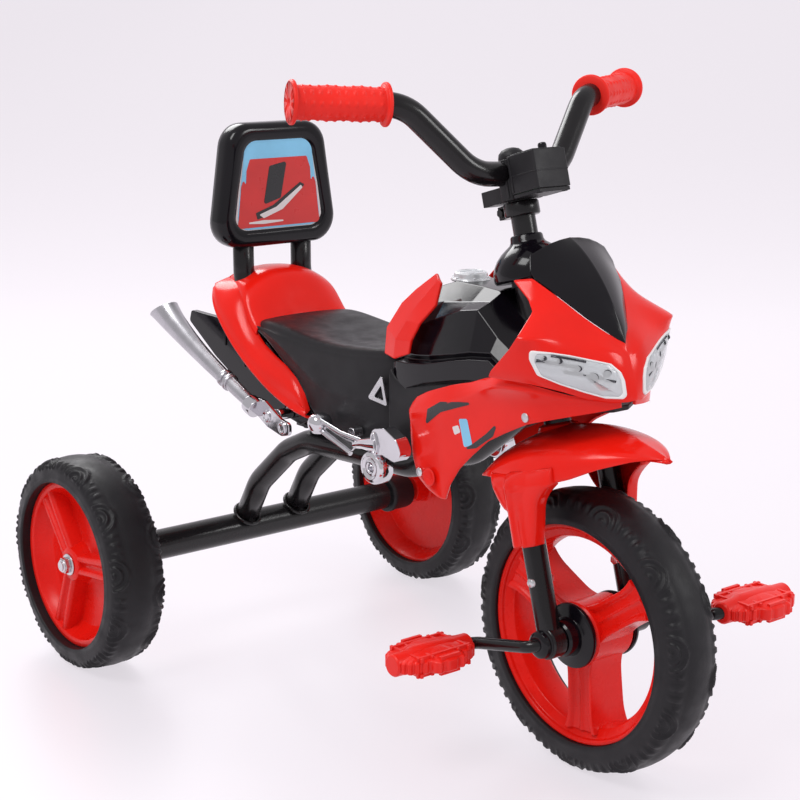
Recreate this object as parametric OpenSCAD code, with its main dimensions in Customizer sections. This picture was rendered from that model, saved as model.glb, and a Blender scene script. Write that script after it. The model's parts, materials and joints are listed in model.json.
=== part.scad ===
// Children's pedal tricycle with motorbike styling.
// Each module works in a frame whose origin is on the ground under the front axle:
// X to the rider's left, Y backwards, Z up. placed() moves it to the centre of the object.

/* [Wheels] */
// Front wheel diameter
front_d = 256; // [240:1:264]
// Front tyre width
front_tyre_w = 56; // [50:1:60]
// Rear wheel diameter
rear_d = 220; // [200:1:226]
// Rear tyre width
rear_tyre_w = 62; // [56:1:64]
// Distance between the front and rear axles
wheelbase = 504; // [500:1:520]
// Distance between the middles of the two rear wheels
track = 450; // [446:1:460]

/* [Steering] */
// Lean of the steering axis, in degrees
rake = 15.5; // [14:0.5:17]
// Distance from the middle plane to each fork leg
fork_leg_x = 52; // [51:0.5:54]
// Length of each crank
crank_len = 80; // [70:1:84]
// Angle of the right crank below level, in degrees
crank_drop = 13; // [0:1:20]
// Outer diameter of the handlebar and the stem
bar_d = 22; // [21:0.5:23]

/* [Frame] */
// Outer diameter of the two main tubes
main_tube_d = 25; // [22:0.5:26]
// Distance from the middle plane to each main tube
main_tube_x = 33; // [31:0.5:34]
// Outer diameter of the rear axle tube
axle_tube_d = 32; // [30:0.5:34]
// Wall of every steel tube
tube_wall = 1.5; // [1:0.1:2]

/* [Body] */
// Wall of the plastic covers
shell_wall = 3; // [2:0.5:3.5]
// Height of the flat middle of the seat
seat_h = 342; // [338:1:346]

/* [Hidden] */

$fn = 48;
front_r = front_d / 2;
rear_r = rear_d / 2;
front_axle_y = front_r - (front_r + wheelbase + rear_r) / 2;
front_rim_r = 99.5;
rear_rim_r = 86.5;
rear_hub_in = 23;
crank_r = 5.5;
bend_swell = 0.25;
axle_rod_r = 5;
run_gap = 0.06;
main_tube_r = main_tube_d / 2;
axle_tube_r = axle_tube_d / 2;
bar_r = bar_d / 2;
steerer_r = bar_r + tube_wall;
fork_leg_r = 10;
bush_flange_t = 2;
head_tube_r = 18;
bush_r = 15.5;
head_tube_low = 205;
head_tube_high = 310;
crown_low = 139;
crown_high = 155;
bar_s = 409;
crank_x = 74;
red = [0.86, 0.05, 0.04];
black = [0.04, 0.04, 0.045];
charcoal = [0.13, 0.13, 0.14];
chrome = [0.8, 0.8, 0.82];
rubber = [0.07, 0.07, 0.075];

// Stations of the shells: [y, lowest z, highest z, half width, half width at the top if narrower]
fairing_stations = [
    [-44, 343, 376, 12, 8], [-34, 344, 392, 29, 12], [-22, 348, 407, 46, 20],
    [-8, 354, 432, 68, 28], [4, 358, 446, 86, 36], [22, 360, 463, 93, 46], [46, 361, 471, 88, 50]
];
tank_stations = [
    [58, 352, 382, 50, 20], [76, 346, 400, 55, 24], [102, 346, 419, 57, 28],
    [140, 350, 422, 53, 32], [168, 354, 422, 52, 34], [192, 358, 412, 51, 34],
    [210, 372, 394, 44, 34]
];
seat_stations = [
    [216, 262, 354, 50], [236, 257, 349, 57], [262, 256, 346, 60], [345, 272, 346, 60],
    [385, 300, 350, 60], [412, 322, 354, 59], [438, 334, 350, 57]
];
cowl_stations = [
    [334, 272, 292, 70], [362, 277, 336, 74], [388, 288, 397, 76], [440, 320, 400, 76],
    [488, 348, 398, 71], [511, 368, 390, 58]
];

// Moves the front axle's frame to the middle of the whole object
module placed() translate([0, front_axle_y, 0]) children();

// Frame of the steering axis: Z runs up the axis from the front axle
module steered() translate([0, 0, front_r]) rotate([-rake, 0, 0]) children();

// A child and its mirror image
module both_sides() {
    children();
    mirror([1, 0, 0]) children();
}

// Extrudes an outline given in [y, z] along X, from x by thickness
module side_plate(outline, x, thickness)
    translate([x, 0, 0]) rotate([90, 0, 90]) linear_extrude(thickness) polygon(outline);

// A cylinder along X
module x_cylinder(r, x, length)
    translate([x, 0, 0]) rotate([0, 90, 0]) cylinder(r = r, h = length);

// A straight round bar from a to b
module rod(a, b, r) {
    d = b - a;
    translate(a) rotate([0, acos(d.z / norm(d)), atan2(d.y, d.x)]) cylinder(r = r, h = norm(d));
}

function unit(v) = v / norm(v);

// A round bar along a list of points, with a ball a little wider than the bar at each bend
module bent_rod(points, r) {
    for (i = [1 : len(points) - 1]) rod(points[i - 1], points[i], r);
    for (i = [1 : 1 : len(points) - 2]) translate(points[i]) sphere(r = r + bend_swell);
}

// The same points with both ends pulled out by a length
function stretched(points, by) = let (n = len(points) - 1) [
    points[0] - unit(points[1] - points[0]) * by,
    for (i = [1 : 1 : n - 1]) points[i],
    points[n] + unit(points[n] - points[n - 1]) * by
];

// An open tube along a list of points
module bent_tube(points, r) difference() {
    bent_rod(points, r);
    bent_rod(stretched(points, 1), r - tube_wall);
}

// One ring of a rounded box section at a station
ring_n = 28;
function bulge(c) = sign(c) * pow(abs(c), 0.58);
function top_half(s) = len(s) > 4 ? s[4] : s[3];
function ring(s) = [
    for (i = [0 : ring_n - 1])
        let (a = 360 * (i + 0.5) / ring_n, rise = bulge(sin(a)))
            let (half = s[3] + (top_half(s) - s[3]) * max(0, rise))
                [half * bulge(cos(a)), s[0], (s[1] + s[2]) / 2 + (s[2] - s[1]) / 2 * rise]
];

// A closed body through the rings of a list of stations
module loft(stations) {
    count = len(stations);
    sides = [
        for (k = [0 : count - 2], i = [0 : ring_n - 1])
            let (a = k * ring_n + i, b = k * ring_n + (i + 1) % ring_n)
                each [[a, b, b + ring_n], [a, b + ring_n, a + ring_n]]
    ];
    front = [for (i = [ring_n - 1 : -1 : 0]) i];
    back = [for (i = [0 : ring_n - 1]) (count - 1) * ring_n + i];
    polyhedron([for (s = stations) each ring(s)], concat(sides, [front, back]), convexity = 6);
}

// Stations moved inwards by a wall, with the floor dropped by a depth
function inset(stations, wall, drop) = let (n = len(stations) - 1) [
    for (i = [0 : n]) let (s = stations[i])
        [
            s[0] + (i == 0 ? wall : i == n ? -wall : 0), s[1] + wall - drop, s[2] - wall,
            s[3] - wall, top_half(s) - wall
        ]
];

// ---- Frame ----

main_path = [
    [main_tube_x, 504, 112], [main_tube_x, 466, 172], [main_tube_x, 413, 214],
    [main_tube_x, 378, 230], [main_tube_x, 204, 240], [main_tube_x, 122, 302],
    [main_tube_x, 92, 330]
];

module rear_axle_tube() color(black) difference() {
    translate([0, wheelbase, rear_r]) x_cylinder(axle_tube_r, -185, 370);
    translate([0, wheelbase, rear_r]) x_cylinder(axle_tube_r - tube_wall, -186, 372);
}

module main_tube() color(black) difference() {
    bent_tube(main_path, main_tube_r);
    translate([0, wheelbase, rear_r]) x_cylinder(axle_tube_r, 0, 60);
    translate([0, 40, 320]) cube([60, 90, 40]);
}

module head_tube() color(black) steered() translate([0, 0, head_tube_low]) difference() {
    cylinder(r = head_tube_r, h = head_tube_high - head_tube_low);
    translate([0, 0, -1]) cylinder(r = bush_r, h = head_tube_high - head_tube_low + 2);
}

module head_gusset() color(black) difference() {
    translate([-main_tube_x - 12, 60, 320]) cube([2 * main_tube_x + 24, 50, 4]);
    steered() translate([0, 0, 180]) cylinder(r = head_tube_r, h = 60);
    steered() translate([0, 0, 180]) cylinder(r = head_tube_r + 2.4, h = head_tube_low - 180);
}

bracket_z = 250;
bracket_t = 3;
module seat_bracket() color(black) difference() {
    translate([-48, 262, bracket_z]) cube([96, 118, bracket_t]);
    for (x = [-main_tube_x, main_tube_x]) rod([x, 380, 229.9], [x, 190, 240], main_tube_r);
}

post_x = 37;
post_y = 487;
module backrest_post() color(black) difference() {
    bent_tube([[post_x, post_y, 520], [post_x, post_y, 388], [post_x, 468, 342], [post_x, 352, 240]], bar_r);
    translate([0, 300, 200]) cube([80, 120, bracket_z + bracket_t - 200]);
}

module fairing_bracket() color(black) difference() {
    translate([-14, -35.5, 372]) cube([28, 95.5, 3]);
    steered() translate([0, 0, 220]) cylinder(r = head_tube_r, h = 60);
}

module headset_bush() difference() {
    union() {
        cylinder(r = bush_r, h = 14);
        translate([0, 0, -4]) cylinder(r = head_tube_r + 2, h = 4);
    }
    translate([0, 0, -5]) cylinder(r = steerer_r + run_gap, h = 20);
}

module headset_bushes() color(charcoal) steered() {
    translate([0, 0, head_tube_low]) headset_bush();
    translate([0, 0, head_tube_high]) mirror([0, 0, 1]) headset_bush();
}

module headset_cover() color(charcoal) steered() translate([0, 0, head_tube_high + 4.5])
    rotate_extrude() polygon([
        [steerer_r + 1, 0], [31, 0], [31, 8], [29, 16], [24, 23], [17, 29], [14, 32], [14, 40],
        [bar_r + 0.5, 40], [bar_r + 0.5, 38], [steerer_r - 0.2, 38], [steerer_r + 1, 36.5]
    ]);

// ---- Rear wheels ----

// Directions of the first spoke of the front and the rear wheels
front_spoke = 112;
rear_spoke = 22;

module rear_axle_rod() color(chrome) translate([0, wheelbase, rear_r])
    x_cylinder(axle_rod_r, -track / 2 - 32, track + 64);

module axle_sleeves() color(charcoal) translate([0, wheelbase, rear_r]) both_sides() difference() {
    union() {
        x_cylinder(axle_tube_r + 4, 165, 32);
        x_cylinder(11, 196, track / 2 - rear_hub_in - 196.5);
    }
    x_cylinder(axle_tube_r, 164, 21);
    x_cylinder(axle_rod_r, 184, 20);
}

// Tyre section: [distance from the wheel's middle plane, radius]
function crown(c) = sign(c) * pow(abs(c), 0.5);
function tyre_outline(r, rim_r, width) = let (depth = r - rim_r + 6, n = 14) concat(
    [for (i = [0 : n]) let (a = 180 * i / n)
        [r - depth + depth * crown(sin(a)), width / 2 * crown(cos(a))]],
    [[rim_r - 6, -width / 2], [rim_r, -width / 2 + 3], [rim_r, width / 2 - 3],
        [rim_r - 6, width / 2]]
);

module tyre(r, rim_r, width) color(rubber) rotate([0, 90, 0]) rotate_extrude($fn = 96)
    intersection() {
        polygon(tyre_outline(r, rim_r, width));
        translate([rim_r, -width]) square([r, 2 * width]);
    }

module rear_rim() color(red) rotate([0, 90, 0]) {
    rotate_extrude($fn = 96) polygon([
        [axle_rod_r + run_gap, -rear_hub_in], [16, -rear_hub_in], [16, -2], [74, -2], [81, -22],
        [rear_rim_r, -24], [rear_rim_r, 21.5], [81, 21.5], [76, 8], [71, 2], [26, 2], [22, 22],
        [axle_rod_r + run_gap, 22]
    ]);
    for (k = [0 : 2]) rotate([0, 0, rear_spoke + 120 * k])
        translate([16, 0, 1]) linear_extrude(18) polygon([[0, -11], [65, -13], [65, 13], [0, 11]]);
}

module rear_wheel_at(side) translate([side * track / 2, wheelbase, rear_r])
    mirror([side < 0 ? 1 : 0, 0, 0]) children();

module axle_washers() color(chrome) for (side = [-1, 1]) rear_wheel_at(side) difference() {
    x_cylinder(11, 22.3, 1.5);
    x_cylinder(axle_rod_r, 22, 3);
}

module axle_nuts() color(chrome) for (side = [-1, 1]) rear_wheel_at(side) difference() {
    x_cylinder(8.5, 23.8, 7.2, $fn = 6);
    x_cylinder(axle_rod_r, 23, 9);
}

// ---- Steering ----

module fork() color(black) {
    steered() difference() {
        union() {
            translate([-fork_leg_x - fork_leg_r, -13, crown_low])
                cube([2 * (fork_leg_x + fork_leg_r), 26, crown_high - crown_low]);
            cylinder(r = steerer_r, h = head_tube_high + 40);
            both_sides() translate([fork_leg_x, 0, 0]) cylinder(r = fork_leg_r, h = crown_low + 1);
            both_sides() x_cylinder(14, fork_leg_x - fork_leg_r, 2 * fork_leg_r);
        }
        translate([0, 0, crown_high + 20]) cylinder(r = bar_r, h = 200);
        cylinder(r = 40, h = crown_low);
        both_sides() x_cylinder(10, fork_leg_x - 20, 40);
    }
}

module fork_bushes() color(charcoal) translate([0, 0, front_r]) both_sides() difference() {
    union() {
        x_cylinder(10, fork_leg_x - fork_leg_r, 2 * fork_leg_r);
        x_cylinder(13, fork_leg_x + fork_leg_r, bush_flange_t);
    }
    x_cylinder(crank_r + run_gap, fork_leg_x - 12, 30);
}

// Mudguard section: [radius from the axle, distance from the middle plane]
guard_r = 186;
guard_half = 61;
function guard_outline(wall) = [
    for (i = [-8 : 8]) [guard_r - wall - 38 * pow(abs(i / 8), 2.4), (guard_half - wall * 0.1) * i / 8]
];
function reversed(list) = [for (i = [len(list) - 1 : -1 : 0]) list[i]];

module front_mudguard() color(red) difference() {
    union() {
        translate([0, 0, front_r]) rotate([0, -90, 0]) rotate([0, 0, -25]) rotate_extrude(angle = 57)
            polygon(concat(guard_outline(0), reversed(guard_outline(shell_wall))));
        steered() both_sides() translate([fork_leg_x - 14, -17, 82]) difference() {
            cube([28, 34, 78]);
            translate([2.5, 2.5, -1]) cube([23, 29, 76]);
        }
        steered() translate([0, 0, crown_high]) cylinder(r = 19, h = 30);
    }
    steered() translate([0, 0, crown_high - 10]) cylinder(r = steerer_r, h = 60);
    steered() translate([-fork_leg_x - fork_leg_r - 0.5, -13.5, crown_low - 4])
        cube([2 * (fork_leg_x + fork_leg_r) + 1, 27, crown_high - crown_low + 4]);
}

module fork_bolts() color(chrome) steered() both_sides() translate([fork_leg_x, 0, 54]) difference() {
    x_cylinder(4, -fork_leg_r - 3.5, 2 * fork_leg_r + 7);
    translate([0, 0, -10]) cylinder(r = fork_leg_r, h = 20);
}

clamp_low = 385;
module stem() color(black) steered() translate([0, 0, head_tube_high + 5]) difference() {
    cylinder(r = bar_r, h = bar_s - bar_r - head_tube_high - 5);
    translate([0, 0, -1]) cylinder(r = bar_r - tube_wall, h = 200);
}

module stem_collar() color(black) steered() translate([0, 0, clamp_low - 14]) difference() {
    union() {
        cylinder(r = 15.5, h = 13);
        translate([-5, 10, 0]) cube([10, 16, 13]);
    }
    translate([0, 0, -1]) cylinder(r = bar_r, h = 20);
    translate([-1, 10, -1]) cube([2, 20, 20]);
}

module handlebar_clamp() color(charcoal) steered() difference() {
    translate([-20, -11.5, clamp_low]) cube([40, 46, 421 - clamp_low]);
    translate([0, 0, bar_s]) x_cylinder(bar_r, -40, 80);
    translate([0, 0, clamp_low - 1]) cylinder(r = bar_r, h = bar_s - clamp_low);
    for (k = [0 : 3]) translate([-21, 4 + 8 * k, 419]) cube([42, 4, 3]);
}

module stem_cap() color(charcoal) steered() translate([0, 4, 421])
    rotate_extrude() polygon([[0, 0], [13.5, 0], [13.5, 7], [11.5, 10], [8, 11.5], [0, 12]]);

bar_half_path = [
    [50, bar_s * sin(rake), front_r + bar_s * cos(rake)], [107, 134, 585], [197, 170, 589]
];
module handlebar() color(black)
    bent_tube(concat(reversed([for (p = bar_half_path) [-p.x, p.y, p.z]]), bar_half_path), bar_r);

module grip() color(red) {
    a = bar_half_path[1] * 0.85 + bar_half_path[2] * 0.15;
    b = bar_half_path[2];
    along = unit(b - a);
    difference() {
        union() {
            rod(a, b + along * 4, 15);
            rod(a, a + along * 4, 19);
            rod(b, b + along * 4, 19);
        }
        rod(a - along, b, bar_r);
        rod(b - along, b + along * 5, 3);
    }
}

horn_front = -47;
horn_depth = 35.4;
button_t = -39;
module horn_box() color(charcoal) steered() difference() {
    translate([-22, horn_front, clamp_low + 3.5]) cube([44, horn_depth, 35.5]);
    translate([-19.5, horn_front + 2.5, clamp_low]) cube([39, horn_depth - 5, 36.5]);
    translate([0, button_t, 410]) cylinder(r = 4.3, h = 20);
}

module horn_box_cover() color(charcoal) steered() translate([-22, horn_front, clamp_low])
    cube([44, horn_depth, 3.5]);

module sound_board() color("darkgreen") steered() {
    translate([-18, horn_front + 4, clamp_low + 3.5]) cube([36, horn_depth - 8, 2]);
    translate([0, -25, clamp_low + 5.5]) cylinder(r = 9, h = 12);
    translate([-3, button_t - 3, clamp_low + 5.5]) cube([6, 6, 21.5]);
}

module horn_button() color(black) steered() translate([0, button_t, 0]) {
    translate([0, 0, 416]) cylinder(r = 4, h = 13);
    translate([0, 0, 415]) cylinder(r = 5, h = 3);
}

// ---- Front wheel ----

spoke_half = 15;
module front_rim() color(red) translate([0, 0, front_r]) rotate([0, 90, 0]) difference() {
    union() {
        rotate_extrude($fn = 96) polygon([
            [84, -16], [90, -22], [front_rim_r, -24], [front_rim_r, 24], [90, 22], [84, 16]
        ]);
        translate([0, 0, -24]) cylinder(r = 27, h = 48);
        for (k = [0 : 2]) rotate([0, 0, front_spoke + 120 * k]) translate([0, 0, -13]) linear_extrude(26)
            polygon([
                [20, -spoke_half], [72, -spoke_half - 2], [86, -spoke_half - 9],
                [86, spoke_half + 9], [72, spoke_half + 2], [20, spoke_half]
            ]);
    }
    translate([0, 0, -30]) cylinder(r = crank_r, h = 60);
}

module hub_flanges() color(black) translate([0, 0, front_r]) both_sides() difference() {
    union() {
        x_cylinder(29, 24, 5);
        x_cylinder(17, 29, fork_leg_x - fork_leg_r - 29 - 0.5);
    }
    x_cylinder(crank_r, 20, 30);
}

right_crank = [-crank_x, crank_len * cos(crank_drop), -crank_len * sin(crank_drop)];
spindle_end = [-166, 0, 0] + [0, right_crank.y, right_crank.z];
module crank_axle() color(black) translate([0, 0, front_r]) bent_rod([
    -spindle_end, -right_crank, [crank_x, 0, 0], [-crank_x, 0, 0], right_crank, spindle_end
], crank_r);

module crank_collars() color(black) translate([0, 0, front_r]) both_sides() difference() {
    x_cylinder(14, fork_leg_x + fork_leg_r + bush_flange_t + 0.3, 3.5);
    x_cylinder(crank_r, fork_leg_x + 8, 12);
}

pedal_long = 80;
pedal_x = 123;
pedal_deep = 64;
teeth = 12;
function pedal_outline() = [
    for (i = [0 : 5 : 355]) let (tooth = 1 - 0.05 * (1 + cos(teeth * i)) / 2)
        [pedal_long / 2 * crown(cos(i)) * tooth, pedal_deep / 2 * crown(sin(i)) * tooth]
];

module pedal() color(red) difference() {
    union() {
        difference() {
            translate([0, 0, -10]) linear_extrude(20) polygon(pedal_outline());
            for (x = [-26, 0, 26], y = [-19, 19]) translate([x - 8, y - 7, -11]) cube([16, 14, 22]);
        }
        x_cylinder(9.5, -pedal_long / 2, pedal_long);
    }
    x_cylinder(crank_r + run_gap, -60, 120);
}

module pedal_at(side) translate([side * pedal_x, -side * right_crank.y, front_r - side * right_crank.z])
    children();

// ---- Body covers ----

module fairing_shell() difference() {
    loft(fairing_stations);
    loft(concat(inset(fairing_stations, shell_wall, 0), [[60, 364, 468, 85, 47]]));
}

// The region of the fairing that the windshield takes
module windshield_region() translate([0, 60, 0]) rotate([90, 0, 0]) linear_extrude(130)
    polygon([[-52, 447], [0, 388], [52, 447], [47, 500], [-47, 500]]);

// The region of the fairing that the headlights take
module headlight_region(shrink) both_sides() translate([0, 1 - shrink, 0]) rotate([90, 0, 0])
    linear_extrude(130) polygon([
        [12 + shrink, 348 + shrink], [44, 356 + shrink], [80, 368 + shrink], [94 - shrink, 382],
        [88 - shrink, 392 - shrink], [54, 387 - shrink], [16 + shrink, 374 - shrink]
    ]);

module front_fairing() color(red) difference() {
    fairing_shell();
    windshield_region();
    headlight_region(0);
    steered() translate([0, 0, head_tube_low]) cylinder(r = head_tube_r + 4, h = 60);
}

module windshield() color(black) intersection() {
    fairing_shell();
    windshield_region();
}

module headlight_lenses() color("white") intersection() {
    fairing_shell();
    headlight_region(0);
}

module headlight_reflectors() color(chrome) intersection() {
    difference() {
        loft(inset(fairing_stations, shell_wall + 0.3, 0));
        loft(concat(inset(fairing_stations, shell_wall + 3, 0), [[60, 367, 464, 82, 44]]));
    }
    headlight_region(4);
}

module nose_underpanel() color(charcoal) difference() {
    translate([0, 0, 331]) linear_extrude(4)
        polygon([[-9, -24], [9, -24], [46, 2], [48, 48], [-48, 48], [-46, 2]]);
    steered() translate([0, 0, 180]) cylinder(r = head_tube_r + 6, h = 60);
}

cap_y = 168;
cap_z = 420;
cap_r = 18;
module tank() color(black) difference() {
    loft(tank_stations);
    loft(inset(tank_stations, shell_wall, 20));
    steered() translate([0, 0, head_tube_low]) cylinder(r = head_tube_r + 3, h = 200);
    steered() translate([0, 0, head_tube_high + 2]) cylinder(r = 33, h = 80);
    translate([0, cap_y, cap_z]) cylinder(r = cap_r + 0.3, h = 20);
}

module fuel_cap() color(chrome) translate([0, cap_y, cap_z]) difference() {
    cylinder(r = cap_r, h = 9);
    for (y = [-6, 6]) translate([-9, y - 2, 6]) cube([18, 4, 5]);
}

module knee_panels() color(red) both_sides() side_plate([
    [154, 403], [176, 374], [181, 356], [212, 345], [223, 349], [225, 373], [211, 397], [195, 412],
    [172, 427], [158, 422]
], main_tube_x + 21, 5);

module side_panels() color(red) both_sides() {
    side_plate([
        [179, 309], [169, 319], [135, 333], [88, 346], [68, 352], [2, 345], [2, 326], [15, 322],
        [43, 309], [65, 299], [97, 272], [111, 258], [122, 243], [126, 231], [134, 230], [151, 235],
        [171, 247], [177, 277]
    ], 62, 4);
    translate([0, 0, 328]) linear_extrude(13) polygon([[62, 6], [66, 3], [14, -33], [10, -30]]);
}

module inner_covers() color(charcoal) both_sides() difference() {
    side_plate([
        [112, 290], [138, 279], [164, 265], [193, 250], [207, 252], [214, 262], [214, 342], [60, 342],
        [60, 312]
    ], 48, 13);
    side_plate([
        [114, 293], [140, 282], [166, 268], [194, 253], [204, 255], [210, 264], [210, 338], [64, 338],
        [64, 315]
    ], 47, 11);
}

module seat() color(charcoal) difference() {
    union() {
        difference() {
            loft(seat_stations);
            loft([for (s = inset(seat_stations, shell_wall, 14))
                [s[0], s[1], min(s[2], seat_h - shell_wall), s[3]]]);
        }
        for (x = [-30, 30], y = [272, 338]) translate([x, y, bracket_z + bracket_t])
            cylinder(r = 8, h = seat_h - 1 - bracket_z - bracket_t);
    }
    translate([-46, 244, seat_h]) cube([92, 116, 30]);
    for (x = [-30, 30], y = [272, 338]) translate([x, y, 240]) cylinder(r = 2.5, h = 50);
}

module tail_cowl() color(red) difference() {
    loft(cowl_stations);
    loft(inset(cowl_stations, shell_wall, 16));
    loft([for (s = seat_stations) [s[0] + 4, s[1] - 40, s[2] + 60, s[3] + 1.5]]);
    translate([-57.5, 300, 200]) cube([115, 144, 300]);
    both_sides() translate([37, 487, 300]) cylinder(r = bar_r + 0.5, h = 200);
}

module tail_underpanels() color(charcoal) both_sides() side_plate([
    [357, 256], [446, 271], [511, 303], [556, 336], [550, 344], [500, 340], [440, 312], [390, 284],
    [345, 268]
], 52, 6);

// Backrest outline: [x, z] of a trapezoid with round corners
function arc(cx, cz, r, from, to) = [
    for (i = [0 : 6]) let (a = from + (to - from) * i / 6) [cx + r * cos(a), cz + r * sin(a)]
];
function trapezoid(low_half, high_half, low, high, r) = concat(
    arc(high_half - r, high - r, r, 10, 90), arc(-high_half + r, high - r, r, 90, 170),
    arc(-low_half + r, low + r, r, 190, 270), arc(low_half - r, low + r, r, 270, 350)
);

module backrest_plate(outline, y, depth)
    translate([0, y + depth, 0]) rotate([90, 0, 0]) linear_extrude(depth) polygon(outline);

module backrest_shell() color(black) difference() {
    backrest_plate(trapezoid(78, 58, 420, 548, 26), 472, 27);
    backrest_plate(trapezoid(56, 42, 434, 538, 16), 470, 5);
    both_sides() translate([37, 487, 400]) cylinder(r = bar_r, h = 120);
}

module backrest_insert() color([0.55, 0.8, 0.9])
    backrest_plate(trapezoid(55.5, 41.5, 434.5, 537.5, 15.5), 473, 2);

// ---- Exhausts and chrome trim ----

muffler_a = [85, 408, 274.5];
muffler_b = [87, 570, 347];
module mufflers() color(chrome) both_sides() difference() {
    middle = muffler_a + (muffler_b - muffler_a) * 0.5;
    past_end = muffler_b + (muffler_b - muffler_a) * 0.02;
    union() {
        rod_cone(muffler_a, middle, 7.5, 9.5);
        rod_cone(middle, muffler_b, 9.5, 17);
    }
    rod_cone(middle, past_end, 7.5, 15.2);
    translate([40, 566, 250]) rotate([-8, 0, 0]) cube([90, 60, 140]);
}

// A straight cone from a to b
module rod_cone(a, b, ra, rb) {
    d = b - a;
    translate(a) rotate([0, acos(d.z / norm(d)), atan2(d.y, d.x)])
        cylinder(r1 = ra, r2 = rb, h = norm(d));
}

module exhaust_brackets() color(chrome) both_sides() {
    difference() {
        side_plate([[345, 251], [360, 248], [403, 262], [399, 281], [344, 265]], 76, 8);
        for (p = [[358, 262], [384, 270]]) translate([0, p[0], p[1]]) x_cylinder(3, 70, 20);
    }
    rod([58.2, 372, 266], [76, 372, 266], 6);
}

module side_brackets() color(chrome) both_sides() {
    difference() {
        union() {
            translate([80, 303, 267]) sphere(r = 10);
            rod([80, 303, 271], [80, 240, 273], 3.5);
            rod([80, 303, 264], [80, 240, 258], 3.5);
            translate([0, 256, 269]) x_cylinder(12, 73, 13);
            rod([80, 256, 271], [80, 200, 274], 8);
            translate([0, 198, 274]) x_cylinder(13, 72, 15);
            rod([80, 240, 268], [80, 215, 248], 6);
            translate([0, 213, 245]) x_cylinder(15, 72, 12);
        }
        translate([0, 213, 245]) x_cylinder(6, 60, 40);
    }
    translate([0, 256, 269]) x_cylinder(5, 61.5, 12);
}

module panel_screws() color(chrome) both_sides() {
    for (p = [[150, 262], [20, 322]]) translate([0, p[0], p[1]]) x_cylinder(4, 66, 2);
    translate([0, 430, 290]) x_cylinder(4, 58, 2);
}

placed() rear_axle_tube();
placed() main_tube();  // main_tube_left
placed() mirror([1, 0, 0]) main_tube();  // main_tube_right
placed() head_tube();
placed() head_gusset();
placed() seat_bracket();
placed() backrest_post();  // backrest_post_left
placed() mirror([1, 0, 0]) backrest_post();  // backrest_post_right
placed() fairing_bracket();
placed() headset_bushes();
placed() headset_cover();
placed() rear_axle_rod();
placed() axle_sleeves();
placed() rear_wheel_at(1) rear_rim();  // rear_rim_left
placed() rear_wheel_at(-1) rear_rim();  // rear_rim_right
placed() rear_wheel_at(1) tyre(rear_r, rear_rim_r, rear_tyre_w);  // rear_tyre_left
placed() rear_wheel_at(-1) tyre(rear_r, rear_rim_r, rear_tyre_w);  // rear_tyre_right
placed() axle_washers();
placed() axle_nuts();
placed() fork();
placed() fork_bushes();
placed() front_mudguard();
placed() fork_bolts();
placed() stem();
placed() stem_collar();
placed() handlebar_clamp();
placed() stem_cap();
placed() handlebar();
placed() grip();  // grip_left
placed() mirror([1, 0, 0]) grip();  // grip_right
placed() horn_box();
placed() horn_box_cover();
placed() sound_board();
placed() horn_button();
placed() front_rim();
placed() translate([0, 0, front_r]) tyre(front_r, front_rim_r, front_tyre_w);  // front_tyre
placed() hub_flanges();
placed() crank_axle();
placed() crank_collars();
placed() pedal_at(1) pedal();  // pedal_left
placed() pedal_at(-1) pedal();  // pedal_right
placed() front_fairing();
placed() windshield();
placed() headlight_lenses();
placed() headlight_reflectors();
placed() nose_underpanel();
placed() tank();
placed() fuel_cap();
placed() knee_panels();
placed() side_panels();
placed() inner_covers();
placed() seat();
placed() tail_cowl();
placed() tail_underpanels();
placed() backrest_shell();
placed() backrest_insert();
placed() mufflers();
placed() exhaust_brackets();
placed() side_brackets();
placed() panel_screws();
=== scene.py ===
"""Children's motorbike-style tricycle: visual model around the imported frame."""
import json
import math

import bmesh
import bpy
from mathutils import Matrix, Vector
from mathutils.bvhtree import BVHTree


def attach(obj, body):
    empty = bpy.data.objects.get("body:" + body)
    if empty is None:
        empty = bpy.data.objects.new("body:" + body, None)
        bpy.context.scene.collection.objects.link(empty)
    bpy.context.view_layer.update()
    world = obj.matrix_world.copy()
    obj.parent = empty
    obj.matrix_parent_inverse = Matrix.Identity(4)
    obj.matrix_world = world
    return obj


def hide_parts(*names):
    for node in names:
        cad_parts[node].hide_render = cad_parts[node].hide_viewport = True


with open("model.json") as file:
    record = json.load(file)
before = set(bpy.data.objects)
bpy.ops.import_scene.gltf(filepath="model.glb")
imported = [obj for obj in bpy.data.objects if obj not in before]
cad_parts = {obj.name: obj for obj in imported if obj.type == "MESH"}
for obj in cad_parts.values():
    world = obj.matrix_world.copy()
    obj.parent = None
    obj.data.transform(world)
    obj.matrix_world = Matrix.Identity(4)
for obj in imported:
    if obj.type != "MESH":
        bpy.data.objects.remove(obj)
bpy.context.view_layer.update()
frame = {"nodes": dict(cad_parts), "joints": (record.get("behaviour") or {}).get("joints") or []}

MM = 0.001
JOINTS = {j["name"]: j for j in frame["joints"]}
AXLE = Vector(JOINTS["front_wheel_spin"]["pos_m"])
REAR_AXLE = Vector(JOINTS["rear_wheel_left_spin"]["pos_m"])
PEDAL = Vector(JOINTS["pedal_left_spin"]["pos_m"])
STEER = Vector(JOINTS["steering"]["axis"]).normalized()
X = Vector((1, 0, 0))
UP = Vector((0, 0, 1))


# ---------------------------------------------------------------- places

def at(x, y, z):
    """A point in mm: sideways, back from the front axle, and up from the ground."""
    return Vector((x * MM, AXLE.y + y * MM, z * MM))


def sideways(y, z, x):
    """The same point named in the order back, up, sideways: for plates that face sideways."""
    return at(x, y, z)


def steered(x, t, s):
    """A point in mm in the steering axis' frame: sideways, behind the axis, and up it."""
    behind = Vector((0, STEER.z, -STEER.y))
    return AXLE + X * (x * MM) + behind * (t * MM) + STEER * (s * MM)


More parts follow.
